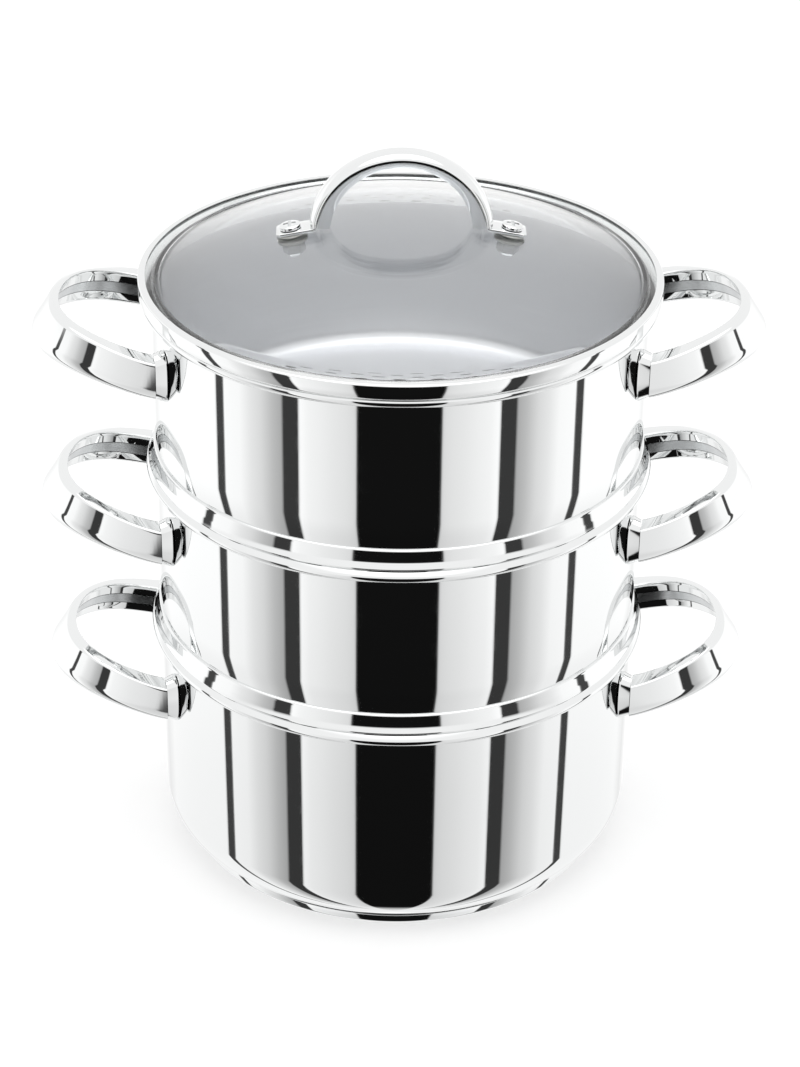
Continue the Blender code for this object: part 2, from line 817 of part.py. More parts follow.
def add_seals(prefix, side, home, seat):
    """The clear seals over and under the glass."""
    bore = SHANK_RADIUS + CLEARANCE
    lower_foot = nut_top() + CLEARANCE
    for label, foot, thickness in (
        ("_upper_seal", CLEARANCE, UPPER_SEAL_THICKNESS),
        ("_lower_seal", lower_foot, LOWER_SEAL_THICKNESS),
    ):
        name = prefix + label
        outline = washer_outline(bore, SEAL_RADIUS, foot, thickness)
        mesh = turned_mesh(name, outline, True, SMALL_STEPS)
        seal = add_object(name, mesh, clear_silicone(name), home, seat)
        stand_on_glass(seal, side)


def add_nut(prefix, side, home, cutters, seat):
    """The six-sided cap nut under the glass, with a blind bore."""
    name = prefix + "_nut"
    floor = nut_top() - NUT_HEIGHT
    outline = [
        (0.0, nut_top()),
        (NUT_RADIUS, nut_top()),
        (NUT_RADIUS, floor + NUT_CAP),
        (NUT_RADIUS - NUT_CAP, floor),
        (0.0, floor),
    ]
    mesh = turned_mesh(name, outline, False, 6)
    nut = add_object(name, mesh, satin_steel(name), home, seat)
    stand_on_glass(nut, side)
    bore_name = name + "_bore_cutter"
    bore_mesh = turned_mesh(bore_name, nut_bore_outline(), False, SMALL_STEPS)
    bore = bpy.data.objects.new(bore_name, bore_mesh)
    bore.parent = seat
    stand_on_glass(bore, side)
    subtract(nut, bore, cutters)


def arch_point(angle, inset):
    """Point of the arch in the XZ plane, inset from its outer face."""
    spring = dome_height(ARCH_HALF_WIDTH)
    point = Vector((ARCH_HALF_WIDTH * math.cos(angle), ARCH_RISE * math.sin(angle)))
    normal = Vector((ARCH_RISE * math.cos(angle), ARCH_HALF_WIDTH * math.sin(angle)))
    point = point - normal.normalized() * inset
    return Vector((point.x, point.y + spring))


def arch_start():
    """Angle at which the cover's end clears the tab and its bend."""
    lean = SCREW_SPREAD - ARCH_HALF_WIDTH + crown_bore()
    tab_height = dome_height(SCREW_SPREAD) + lean * math.tan(SCREW_TILT)
    tab_height += tab_top() / math.cos(SCREW_TILT)
    bend_height = STRAP_BEND / 4 + CLEARANCE
    lift = tab_height + bend_height - dome_height(ARCH_HALF_WIDTH)
    return math.asin(lift / ARCH_RISE)


def cover_depth(angle):
    """Depth of the cover, which swells from the top of the arch to its feet."""
    swell = COVER_FOOT_DEPTH - COVER_TOP_DEPTH
    return COVER_TOP_DEPTH + swell * math.cos(angle) ** 2


def crown_bore():
    """Depth at which the bore of the cover is wide enough for the strap."""
    return COVER_SHEET + COVER_SHOULDER / 2


def cover_section(angle):
    """Closed section of the cover: crowned outside, hollow inside."""
    half = COVER_WIDTH / 2
    bore = half - COVER_SHEET
    depth = cover_depth(angle)
    outline = [
        (half, depth),
        (half, COVER_SHOULDER),
        (half - COVER_SHOULDER / 2, COVER_SHOULDER / 4),
        (0.0, 0.0),
        (COVER_SHOULDER / 2 - half, COVER_SHOULDER / 4),
        (-half, COVER_SHOULDER),
        (-half, depth),
        (-bore, depth),
        (-bore, crown_bore()),
        (0.0, COVER_SHEET),
        (bore, crown_bore()),
        (bore, depth),
    ]
    section = []
    for across, inset in reversed(outline):
        point = arch_point(angle, inset)
        section.append((point.x, across, point.y))
    return section


def add_lid_cover(home, seat):
    """Crowned cover of the lid handle."""
    start = arch_start()
    sections = []
    for station in range(ARCH_STATIONS):
        share = station / (ARCH_STATIONS - 1)
        sections.append(cover_section(start + (HALF_TURN - 2 * start) * share))
    name = "lid_handle_cover"
    mesh = lofted_mesh(name, sections, closed=True)
    add_object(name, mesh, polished_steel(name), home, seat)


def strap_inset():
    """Inset of the strap's middle from the cover's outer face."""
    return crown_bore() + CLEARANCE + STRAP_THICKNESS / 2


def strap_path():
    """Right half of the strap's middle line: tab, bend and arch to the top."""
    out = Vector((math.cos(SCREW_TILT), -math.sin(SCREW_TILT)))
    up = Vector((math.sin(SCREW_TILT), math.cos(SCREW_TILT)))
    on_glass = Vector((SCREW_SPREAD, dome_height(SCREW_SPREAD)))
    middle = on_glass + up * (tab_foot() + STRAP_THICKNESS / 2)
    tip = middle + out * TAB_END
    heel = arch_point(0.0, strap_inset())
    corner = middle + out * (heel.x - middle.x) / out.x
    foot = corner + out * STRAP_BEND
    lift = corner.y + STRAP_BEND - dome_height(ARCH_HALF_WIDTH)
    inner_rise = ARCH_RISE - strap_inset()
    start = math.asin(lift / inner_rise)
    knee = arch_point(start, strap_inset())
    bend = [foot.lerp(corner, 0.5).lerp(corner.lerp(knee, 0.5), 0.5)]
    path = [tip, tip - out * TAB_CLIP, foot] + bend
    half = ARCH_STATIONS // 2
    for station in range(half + 1):
        angle = start + (QUARTER_TURN - start) * station / half
        path.append(arch_point(angle, strap_inset()))
    return path


def strap_section(point, normal, half_width):
    """Closed rectangular section of the strap."""
    outer = point + normal * STRAP_THICKNESS / 2
    inner = point - normal * STRAP_THICKNESS / 2
    return [
        (outer.x, half_width, outer.y),
        (outer.x, -half_width, outer.y),
        (inner.x, -half_width, inner.y),
        (inner.x, half_width, inner.y),
    ]


def add_lid_strap(home, cutters, seat):
    """Strap of the lid handle, with a screw hole in each tab."""
    right = strap_path()
    left = [Vector((-point.x, point.y)) for point in reversed(right[:-1])]
    path = right + left
    half = STRAP_WIDTH / 2
    sections = []
    for index, point in enumerate(path):
        before = path[max(index - 1, 0)]
        after = path[min(index + 1, len(path) - 1)]
        along = (after - before).normalized()
        normal = Vector((along.y, -along.x))
        at_end = index in (0, len(path) - 1)
        sections.append(strap_section(point, normal, half - TAB_CLIP if at_end else half))
    name = "lid_handle_strap"
    mesh = lofted_mesh(name, sections, closed=True)
    strap = add_object(name, mesh, polished_steel(name), home, seat)
    for label, side in (("right", 1), ("left", -1)):
        cutter = screw_line_cutter("strap_" + label + "_cutter", side)
        cutter.parent = seat
        subtract(strap, cutter, cutters)


def add_lid(home, cutters, seat):
    """The lid: glass, ring, handle and fasteners."""
    glass_mesh = turned_mesh("lid_glass", glass_outline(), False, TURN_STEPS)
    glass = add_object("lid_glass", glass_mesh, clear_glass("lid_glass"), home, seat)
    ring_mesh = turned_mesh("lid_ring", ring_outline(), True, TURN_STEPS)
    add_object("lid_ring", ring_mesh, polished_steel("lid_ring"), home, seat)
    add_lid_cover(home, seat)
    add_lid_strap(home, cutters, seat)
    for label, side in (("right", 1), ("left", -1)):
        prefix = "lid_" + label
        cutter = screw_line_cutter("glass_" + label + "_cutter", side)
        cutter.parent = seat
        subtract(glass, cutter, cutters)
        add_screw(prefix, side, home, cutters, seat)
        add_seals(prefix, side, home, seat)
        add_nut(prefix, side, home, cutters, seat)


def main():
    """Build the whole steamer."""
    clear_scene()
    home = new_collection("steamer_pot")
    cutters = new_collection("cutters")
    pan = add_seat("pan", 0.0, home)
    lower = add_seat("lower_steamer", LOWER_SEAT, home)
    upper = add_seat("upper_steamer", UPPER_SEAT, home)
    lid = add_seat("lid", LID_SEAT, home)
    handle_meshes = (handle_shell_mesh(), handle_liner_mesh(), foot_mesh())
    add_pan(home, pan, handle_meshes)
    add_insert("lower", home, cutters, lower, handle_meshes)
    add_insert("upper", home, cutters, upper, handle_meshes)
    add_lid(home, cutters, lid)


main()
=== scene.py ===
"""Looks of a three-tier steamer pot: mirror steel vessels and a domed glass lid.

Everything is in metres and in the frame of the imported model. The front faces
-Y, the side handles lie along X, and the base stands on Z = 0. Each class is
one sub-assembly. It keeps its sizes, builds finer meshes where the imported
nodes are, and dresses them.
"""

import logging
import math
from collections.abc import Sequence
from dataclasses import dataclass
from enum import Enum
from typing import Any

import bmesh
import bpy
from mathutils import Matrix, Vector


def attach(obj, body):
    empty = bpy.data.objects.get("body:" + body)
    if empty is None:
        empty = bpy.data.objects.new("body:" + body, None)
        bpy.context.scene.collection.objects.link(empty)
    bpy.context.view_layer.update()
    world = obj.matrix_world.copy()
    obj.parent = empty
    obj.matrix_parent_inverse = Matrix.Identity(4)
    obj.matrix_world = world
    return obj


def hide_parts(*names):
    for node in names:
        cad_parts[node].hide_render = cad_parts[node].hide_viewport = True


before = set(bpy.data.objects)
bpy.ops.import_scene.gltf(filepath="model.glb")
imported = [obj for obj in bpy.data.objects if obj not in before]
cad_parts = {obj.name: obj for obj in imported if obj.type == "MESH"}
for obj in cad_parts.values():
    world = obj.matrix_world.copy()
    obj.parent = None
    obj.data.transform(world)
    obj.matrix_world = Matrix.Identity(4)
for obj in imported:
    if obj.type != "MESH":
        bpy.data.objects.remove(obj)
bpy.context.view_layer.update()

Mesh = bpy.types.Mesh
Node = bpy.types.Node
Socket = bpy.types.NodeSocket
Tree = bpy.types.NodeTree
Inputs = dict[str | int, Any]
Outline = list[tuple[float, float]]
Pair = tuple[float, float]
Point = tuple[float, float, float]

QUARTER = math.pi / 2
HALF = math.pi
MM = 0.001
CM3_PER_M3 = 1e6
MOST_ROUNDING = 0.48

log = logging.getLogger("steamer")


class Body(Enum):
    """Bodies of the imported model, each of which lifts off the one below."""

    PAN = "pan"
    LOWER = "lower_steamer"
    UPPER = "upper_steamer"
    LID = "lid"


class Slot(Enum):
    """Material slots of the record."""

    POLISHED = "polished_steel"
    SATIN = "satin_steel"
    CORE = "core_aluminium"
    GLASS = "lid_glass"
    SILICONE = "clear_silicone"


# --------------------------------------------------------------------------
# Nodes


def add_node(tree: Tree, kind: str, inputs: Inputs | None = None, **settings: Any) -> Node:
    """Add one node, with its settings, its socket values and its links.

    Args:
        tree: The tree that gets the node.
        kind: The node's type name.
        inputs: Input names or numbers, each with a value or with the output
            socket that is linked to it.
        settings: Property names and their values.

    Returns:
        The new node.
    """
    node = tree.nodes.new(kind)
    for name, value in settings.items():
        setattr(node, name, value)
    for key, value in (inputs or {}).items():
        if isinstance(value, Socket):
            tree.links.new(value, node.inputs[key])
        else:
            node.inputs[key].default_value = value
    return node


def maths(tree: Tree, operation: str, *values: Any) -> Socket:
    """Return the result socket of one Math node on values or sockets."""
    return add_node(tree, "ShaderNodeMath", dict(enumerate(values)), operation=operation).outputs[0]


def linear(colour: str) -> tuple[float, float, float, float]:
    """Turn an sRGB hex colour, such as "E8E9E9", into linear RGBA."""
    shares = [int(colour[start : start + 2], 16) / 255 for start in (0, 2, 4)]
    rgb = [s / 12.92 if s <= 0.04045 else ((s + 0.055) / 1.055) ** 2.4 for s in shares]
    return (rgb[0], rgb[1], rgb[2], 1.0)


def noise(tree: Tree, pitch_mm: float, detail: float) -> Socket:
    """Return a noise with a rough spacing in millimetres."""
    spot = add_node(tree, "ShaderNodeTexCoord").outputs["Object"]
    inputs = {"Vector": spot, "Scale": 1.0 / (pitch_mm * MM), "Detail": detail}
    return add_node(tree, "ShaderNodeTexNoise", inputs).outputs["Fac"]


def ring_noise(tree: Tree, pitch_mm: float, drift: float, detail: float) -> Socket:
    """Return a noise of lines that run round Z.

    Args:
        tree: The material's tree.
        pitch_mm: Rough spacing of the lines, in millimetres.
        drift: How many times the lines change on their way round.
        detail: Octaves of the noise.

    Returns:
        The noise's value.
    """
    spot = add_node(tree, "ShaderNodeTexCoord").outputs["Object"]
    x, y, z = add_node(tree, "ShaderNodeSeparateXYZ", {0: spot}).outputs
    flat = add_node(tree, "ShaderNodeCombineXYZ", {0: x, 1: y}).outputs[0]
    length = add_node(tree, "ShaderNodeVectorMath", {0: flat}, operation="LENGTH")
    radius = length.outputs["Value"]
    pitch = 1.0 / (pitch_mm * MM)
    lines = {
        0: maths(tree, "MULTIPLY", radius, pitch),
        1: maths(tree, "MULTIPLY", z, pitch),
        2: maths(tree, "MULTIPLY", maths(tree, "DIVIDE", x, radius), drift),
    }
    inputs = {
        "Vector": add_node(tree, "ShaderNodeCombineXYZ", lines).outputs[0],
        "W": maths(tree, "MULTIPLY", maths(tree, "DIVIDE", y, radius), drift),
        "Scale": 1.0,
        "Detail": detail,
    }
    return add_node(tree, "ShaderNodeTexNoise", inputs, noise_dimensions="4D").outputs["Fac"]


# --------------------------------------------------------------------------
# Finishes


class Finish:
    """A finish whose material is made on first use."""

    FIXED = {"Metallic": 1.0}
    name: str
    colour: str
    roughness: float

    def material(self) -> bpy.types.Material:
        """Return the finish's material."""
        made = bpy.data.materials.get(self.name)
        if made is None:
            made = bpy.data.materials.new(self.name)
            made.use_nodes = True
            shader = made.node_tree.nodes["Principled BSDF"]
            plain = {"Base Color": linear(self.colour), "Roughness": self.roughness}
            for name, value in {**plain, **self.FIXED}.items():
                shader.inputs[name].default_value = value
            self.lay(made.node_tree, shader)
        return made

    def lay(self, tree: Tree, shader: Node) -> None:
        """Add the nodes that drive the shader's sockets."""
        raise NotImplementedError

    def vary(self, tree: Tree, shader: Node, value: Socket, play: Pair, span: Pair) -> None:
        """Let the roughness follow a value.

        Args:
            tree: The material's tree.
            shader: The material's shader.
            value: The value, such as a noise.
            play: Least and most that is added to the roughness.
            span: Where the value has these.
        """
        inputs = {"Value": value, "From Min": span[0], "From Max": span[1]}
        inputs |= {"To Min": self.roughness + play[0], "To Max": self.roughness + play[1]}
        rough = add_node(tree, "ShaderNodeMapRange", inputs).outputs[0]
        tree.links.new(rough, shader.inputs["Roughness"])

    @staticmethod
    def emboss(tree: Tree, shader: Node, height: Socket, depth_mm: float, strength: float) -> None:
        """Emboss a height into the skin, at a depth in millimetres."""
        inputs = {"Height": height, "Distance": depth_mm * MM, "Strength": strength}
        bump = add_node(tree, "ShaderNodeBump", inputs)
        tree.links.new(bump.outputs[0], shader.inputs["Normal"])


@dataclass(frozen=True)
class MirrorSteel(Finish):
    """18/10 stainless sheet, pressed and buffed to a mirror.

    The eye sees hard-edged reflections that waver a little, because buffed
    sheet keeps a faint orange peel, and a haze of very fine buffing marks.
    """

    name: str = "stainless_steel_mirror_buffed"
    colour: str = "EFF0F0"
    roughness: float = 0.025
    haze: Pair = (0.0, 0.03)
    haze_span: Pair = (0.45, 0.8)
    mark_mm: float = 6.0
    peel_mm: float = 16.0
    peel_depth_mm: float = 0.004

    def lay(self, tree: Tree, shader: Node) -> None:
        """Buffed steel: patches of haze, faint peel."""
        self.vary(tree, shader, noise(tree, self.mark_mm, 4.0), self.haze, self.haze_span)
        self.emboss(tree, shader, noise(tree, self.peel_mm, 1.0), self.peel_depth_mm, 1.0)


@dataclass(frozen=True)
class BrushedInside(Finish):
    """Inside of a vessel, brushed round and round on the lathe.

    The eye sees a soft bluish grey sheen with fine lines that run round the
    wall and the floor. The lines are drawn 0.5 mm apart, coarser than the
    real grit of about 0.1 mm, so that they show.
    """

    name: str = "stainless_steel_lathe_brushed"
    colour: str = "F6F7F9"
    dark_colour: str = "ECEDF0"
    roughness: float = 0.36
    play: Pair = (-0.06, 0.10)
    line_mm: float = 0.5
    line_drift: float = 3.0
    line_depth_mm: float = 0.02

    def lay(self, tree: Tree, shader: Node) -> None:
        """Brushed steel: lines in colour, roughness and bump."""
        lines = ring_noise(tree, self.line_mm, self.line_drift, 3.0)
        inputs = {0: lines, 6: linear(self.dark_colour), 7: linear(self.colour)}
        tone = add_node(tree, "ShaderNodeMix", inputs, data_type="RGBA")
        tree.links.new(tone.outputs[2], shader.inputs["Base Color"])
        self.vary(tree, shader, lines, self.play, (0.0, 1.0))
        self.emboss(tree, shader, lines, self.line_depth_mm, 0.6)


@dataclass(frozen=True)
class SatinSteel(Finish):
    """Stainless strip and nuts as they leave the press, not buffed.

    The eye sees a soft grey sheen with a slight mottle.
    """

    name: str = "stainless_steel_pressed_satin"
    colour: str = "D2D4D5"
    roughness: float = 0.22
    play: Pair = (-0.06, 0.08)
    mottle_mm: float = 3.0

    def lay(self, tree: Tree, shader: Node) -> None:
        """Satin steel: mottled roughness."""
        self.vary(tree, shader, noise(tree, self.mottle_mm, 5.0), self.play, (0.0, 1.0))


@dataclass(frozen=True)
class MachinedAluminium(Finish):
    """Edge of the aluminium disc, turned on the lathe.

    The eye sees a matt silver band with fine turned lines, drawn 0.25 mm
    apart so that they show.
    """

    name: str = "aluminium_disc_turned"
    colour: str = "DCDDDE"
    roughness: float = 0.34
    line_mm: float = 0.25
    line_drift: float = 2.0
    line_depth_mm: float = 0.02

    def lay(self, tree: Tree, shader: Node) -> None:
        """Turned aluminium: turned lines in the bump."""
        lines = ring_noise(tree, self.line_mm, self.line_drift, 2.0)
        self.emboss(tree, shader, lines, self.line_depth_mm, 0.5)


@dataclass(frozen=True)
class ToughenedGlass(Finish):
    """Toughened soda-lime glass, pressed to a dome.

    The eye sees clear glass with a whisper of green, and reflections that
    bend softly, because toughening leaves a very long ripple.
    """

    FIXED = {"IOR": 1.52, "Transmission Weight": 1.0}
    name: str = "soda_lime_glass_toughened"
    colour: str = "FDFEFE"
    roughness: float = 0.0
    ripple_mm: float = 60.0
    ripple_depth_mm: float = 0.01

    def lay(self, tree: Tree, shader: Node) -> None:
        """Clear glass: a long ripple."""
        self.emboss(tree, shader, noise(tree, self.ripple_mm, 0.0), self.ripple_depth_mm, 1.0)


@dataclass(frozen=True)
class ClearSilicone(Finish):
    """Moulded clear silicone rubber, a little milky.

    The eye sees a pale translucent washer with a soft, slightly uneven skin.
    """

    FIXED = {"IOR": 1.41, "Transmission Weight": 0.3}
    name: str = "silicone_rubber_moulded_clear"
    colour: str = "E6E7E4"
    roughness: float = 0.42
    skin_mm: float = 0.8
    skin_depth_mm: float = 0.05

    def lay(self, tree: Tree, shader: Node) -> None:
        """Milky rubber: an uneven skin."""
        self.emboss(tree, shader, noise(tree, self.skin_mm, 2.0), self.skin_depth_mm, 0.3)


MIRROR = MirrorSteel()
BRUSHED = BrushedInside()
SATIN = SatinSteel()
ALUMINIUM = MachinedAluminium()
GLASS = ToughenedGlass()
SILICONE = ClearSilicone()


# --------------------------------------------------------------------------
# Geometry Nodes trees


class Recipe:
    """A Geometry Nodes tree with named inputs."""

    def __init__(self, name: str, inputs: dict[str, str]) -> None:
        """Start the tree.

        Args:
            name: The tree's name.
            inputs: Names of the inputs, each with the kind of its socket.
        """
        self.tree = bpy.data.node_groups.new(name, "GeometryNodeTree")
        face = self.tree.interface
        for label, kind in {"Geometry": "Geometry", **inputs}.items():
            face.new_socket(label, in_out="INPUT", socket_type=f"NodeSocket{kind}")
        face.new_socket("Geometry", in_out="OUTPUT", socket_type="NodeSocketGeometry")
        self.given = self.tree.nodes.new("NodeGroupInput").outputs

    def add(self, kind: str, inputs: Inputs | None = None, **settings: Any) -> Socket:
        """Add a node and return its first output."""
        return add_node(self.tree, kind, inputs, **settings).outputs[0]

    def maths(self, operation: str, *values: Any) -> Socket:
        """Return the result socket of one Math node."""
        return maths(self.tree, operation, *values)

    def vector(self, **parts: Any) -> Socket:
        """Return a vector of the given X, Y and Z."""
        return self.add("ShaderNodeCombineXYZ", parts)

    def raised(self, geometry: Socket, height: Socket) -> Socket:
        """Return geometry raised to a height."""
        lift = self.vector(Z=height)
        return self.add("GeometryNodeTransform", {0: geometry, "Translation": lift})

    def copied(self, points: Socket, piece: Socket, **inputs: Any) -> Socket:
        """Return a copy of a piece at each point, not yet realized."""
        inputs = {0: points, "Instance": piece, **inputs}
        return self.add("GeometryNodeInstanceOnPoints", inputs)

    def join(self, *parts: Socket) -> Socket:
        """Join geometry sockets and return the result."""
        node = add_node(self.tree, "GeometryNodeJoinGeometry")
        for part in parts:
            self.tree.links.new(part, node.inputs[0])
        return node.outputs[0]

    def mark_inside(self, geometry: Socket, which: Any) -> Socket:
        """Mark the chosen faces as a vessel's inside."""
        inputs = {"Geometry": geometry, "Name": "inside", "Value": which}
        kind = "GeometryNodeStoreNamedAttribute"
        return self.add(kind, inputs, data_type="BOOLEAN", domain="FACE")

    def soften(self, geometry: Socket, limit: float = 30.0) -> Socket:
        """Merge doubles, then shade smooth except across hard edges.

        Args:
            geometry: The mesh.
            limit: Angle in degrees from which an edge counts as hard.

        Returns:
            The shaded mesh.
        """
        merged = self.add("GeometryNodeMergeByDistance", {0: geometry, "Distance": 0.002 * MM})
        smooth = self.add("GeometryNodeSetShadeSmooth", {0: merged}, domain="FACE")
        angle = self.add("GeometryNodeInputMeshEdgeAngle")
        hard = self.maths("GREATER_THAN", angle, math.radians(limit))
        inputs = {0: smooth, "Selection": hard, "Shade Smooth": False}
        return self.add("GeometryNodeSetShadeSmooth", inputs, domain="EDGE")

    def end(self, geometry: Socket, *coats: tuple[Any, Any]) -> None:
        """End the tree in Realize Instances and one Set Material for each coat.

        Args:
            geometry: The finished geometry.
            coats: Pairs of a selection, or None for all, and a material.
        """
        whole = self.add("GeometryNodeRealizeInstances", {0: geometry})
        for selection, material in coats:
            inputs = {0: whole, "Material": material}
            if selection is not None:
                inputs["Selection"] = selection
            whole = self.add("GeometryNodeSetMaterial", inputs)
        out = self.tree.nodes.new("NodeGroupOutput")
        self.tree.links.new(whole, out.inputs[0])

    def run(self, blank: Mesh, values: dict[str, Any]) -> Mesh:
        """Run the tree on a mesh.

        Args:
            blank: The mesh that the tree starts from. It is used up.
            values: Input names and their values.

        Returns:
            The result as a plain mesh.
        """
        holder = hold(blank)
        modifier = holder.modifiers.new("Recipe", "NODES")
        modifier.node_group = self.tree
        for item in self.tree.interface.items_tree:
            if item.in_out == "INPUT" and item.name in values:
                modifier[item.identifier] = values[item.name]
        return bake(holder)


class Lathe:
    """Turns an outline round Z, with another finish on its first stretch."""

    NAME = "turned_piece"
    INPUTS = {
        "Steps": "Int",
        "Points": "Int",
        "Inside Spans": "Int",
        "Outside": "Material",
        "Inside": "Material",
    }

    def __init__(self) -> None:
        """Build the tree."""
        self.recipe = Recipe(self.NAME, self.INPUTS)
        whole = self.recipe.soften(self.shape(self.recipe))
        name = "GeometryNodeInputNamedAttribute"
        inside = self.recipe.add(name, {"Name": "inside"}, data_type="BOOLEAN")
        given = self.recipe.given
        self.recipe.end(whole, (None, given["Outside"]), (inside, given["Inside"]))

    def shape(self, recipe: Recipe) -> Socket:
        """Add the nodes that turn the outline, and return the mesh."""
        given = recipe.given
        row = recipe.maths("ADD", given["Steps"], 1.0)
        size = {"Vertices X": given["Points"], "Vertices Y": row}
        grid = recipe.add("GeometryNodeMeshGrid", size)
        index = recipe.add("GeometryNodeInputIndex")
        along = recipe.maths("FLOOR", recipe.maths("DIVIDE", index, row))
        around = recipe.maths("MODULO", index, row)
        step = recipe.maths("DIVIDE", 2 * HALF, given["Steps"])
        spot = recipe.add("GeometryNodeInputPosition")
        outline = recipe.add(
            "GeometryNodeSampleIndex",
            {"Geometry": given["Geometry"], "Value": spot, "Index": along},
            data_type="FLOAT_VECTOR",
            domain="POINT",
        )
        angle = recipe.maths("MULTIPLY", around, step)
        inputs = {"Vector": outline, "Angle": angle}
        turned = recipe.add("ShaderNodeVectorRotate", inputs, rotation_type="Z_AXIS")
        placed = recipe.add("GeometryNodeSetPosition", {0: grid, "Position": turned})
        spans = recipe.maths("MULTIPLY", given["Inside Spans"], given["Steps"])
        return recipe.mark_inside(placed, recipe.maths("LESS_THAN", index, spans))

    def turn(
        self,
        outline: Outline,
        finish: Finish,
        closed: bool = False,
        steps: int = 256,
        inside: Finish | None = None,
        inside_spans: int = 0,
        **values: Any,
    ) -> Mesh:
        """Turn an outline round Z.

        Args:
            outline: (radius, height) points that run down the outer side.
            finish: Finish of the piece.
            closed: Whether the outline's ends are joined.
            steps: Facets round Z.
            inside: Finish of the first stretch, such as a vessel's inside.
            inside_spans: How many spans of the outline that stretch has.
            values: Inputs that the tree has besides these.

        Returns:
            The turned mesh.
        """
        points = outline + outline[:1] if closed else outline
        values |= {
            "Steps": steps,
            "Points": len(points),
            "Inside Spans": inside_spans,
            "Outside": finish.material(),
            "Inside": (inside or finish).material(),
        }
        return self.recipe.run(outline_mesh(points), values)


class PerforatingLathe(Lathe):
    """Turns an insert's wall and closes it with a floor full of steam holes."""

    NAME = "perforated_insert"
    INPUTS = {
        **Lathe.INPUTS,
        "Floor Radius": "Float",
        "Floor Top": "Float",
        "Floor Foot": "Float",
        "Hole Radius": "Float",
        "Hole Sides": "Int",
        "Ring Pitch": "Float",
        "First Ring": "Int",
    }
    RINGS = 3

    def shape(self, recipe: Recipe) -> Socket:
        """Add the nodes of the turned wall and of its floor."""
        return recipe.join(super().shape(recipe), self.floor(recipe))

    def hole_points(self, recipe: Recipe) -> Socket:
        """Return points at the holes: one in the middle, then even rings."""
        rings = [recipe.add("GeometryNodeMeshLine", {"Count": 1})]
        for ring in range(1, self.RINGS + 1):
            inputs = {
                "Vertices": recipe.maths("MULTIPLY", recipe.given["First Ring"], ring),
                "Radius": recipe.maths("MULTIPLY", recipe.given["Ring Pitch"], ring),
            }
            rings.append(recipe.add("GeometryNodeMeshCircle", inputs))
        return recipe.join(*rings)

    def floor(self, recipe: Recipe) -> Socket:
        """Return the floor: both faces with their holes, and the holes' walls."""
        given = recipe.given
        sides, radius = given["Hole Sides"], given["Hole Radius"]
        top_height, foot_height = given["Floor Top"], given["Floor Foot"]
        points = self.hole_points(recipe)
        circle = "GeometryNodeCurvePrimitiveCircle"
        edge = recipe.add(circle, {"Resolution": sides, "Radius": radius})
        edges = recipe.add("GeometryNodeRealizeInstances", {0: recipe.copied(points, edge)})
        size = {"Resolution": given["Steps"], "Radius": given["Floor Radius"]}
        border = recipe.add(circle, size)
        sheet = recipe.add("GeometryNodeFillCurve", {0: recipe.join(edges, border)})
        top = recipe.mark_inside(recipe.raised(sheet, top_height), True)
        foot = recipe.add("GeometryNodeFlipFaces", {0: recipe.raised(sheet, foot_height)})
        depth = recipe.maths("SUBTRACT", top_height, foot_height)
        size = {"Vertices": sides, "Radius": radius, "Depth": depth}
        tube = recipe.add("GeometryNodeMeshCylinder", size, fill_type="NONE")
        tube = recipe.add("GeometryNodeFlipFaces", {0: tube})
        tubes = recipe.add("GeometryNodeRealizeInstances", {0: recipe.copied(points, tube)})
        middle = recipe.maths("ADD", foot_height, recipe.maths("MULTIPLY", depth, 0.5))
        return recipe.join(top, foot, recipe.raised(tubes, middle))


class PairCopies:
    """Copies a piece to two places, one on each side of the middle."""

    INPUTS = {
        "Height": "Float",
        "Spread": "Float",
        "Tilt": "Float",
        "Turn": "Float",
        "Finish": "Material",
    }

    def __init__(self) -> None:
        """Build the tree."""
        self.recipe = Recipe("pair_copies", self.INPUTS)
        recipe, given = self.recipe, self.recipe.given
        index = recipe.add("GeometryNodeInputIndex")
        side = recipe.maths("SUBTRACT", 1.0, recipe.maths("MULTIPLY", index, 2.0))
        spread = recipe.maths("MULTIPLY", side, given["Spread"])
        spot = recipe.vector(X=spread, Z=given["Height"])
        points = recipe.add("GeometryNodePoints", {"Count": 2, "Position": spot})
        tilt = recipe.maths("MULTIPLY", side, given["Tilt"])
        turn = recipe.maths("MULTIPLY", index, given["Turn"])
        copies = recipe.copied(points, given["Geometry"], Rotation=recipe.vector(Y=tilt, Z=turn))
        recipe.end(copies, (None, given["Finish"]))

    def copy(
        self,
        mesh: Mesh,
        finish: Finish,
        height: float,
        spread: float = 0.0,
        tilt: float = 0.0,
        turn: float = 0.0,
    ) -> Mesh:
        """Copy a piece to both places.

        Args:
            mesh: The piece, made at height zero. It is used up.
            finish: Finish of the copies.
            height: Height of the copies.
            spread: How far out along X each copy stands.
            tilt: How far each copy leans outwards, in radians.
            turn: How far the second copy is turned round Z, in radians.

        Returns:
            Both copies as one mesh.
        """
        values = {"Height": height, "Spread": spread, "Tilt": tilt, "Turn": turn}
        return self.recipe.run(mesh, {**values, "Finish": finish.material()})


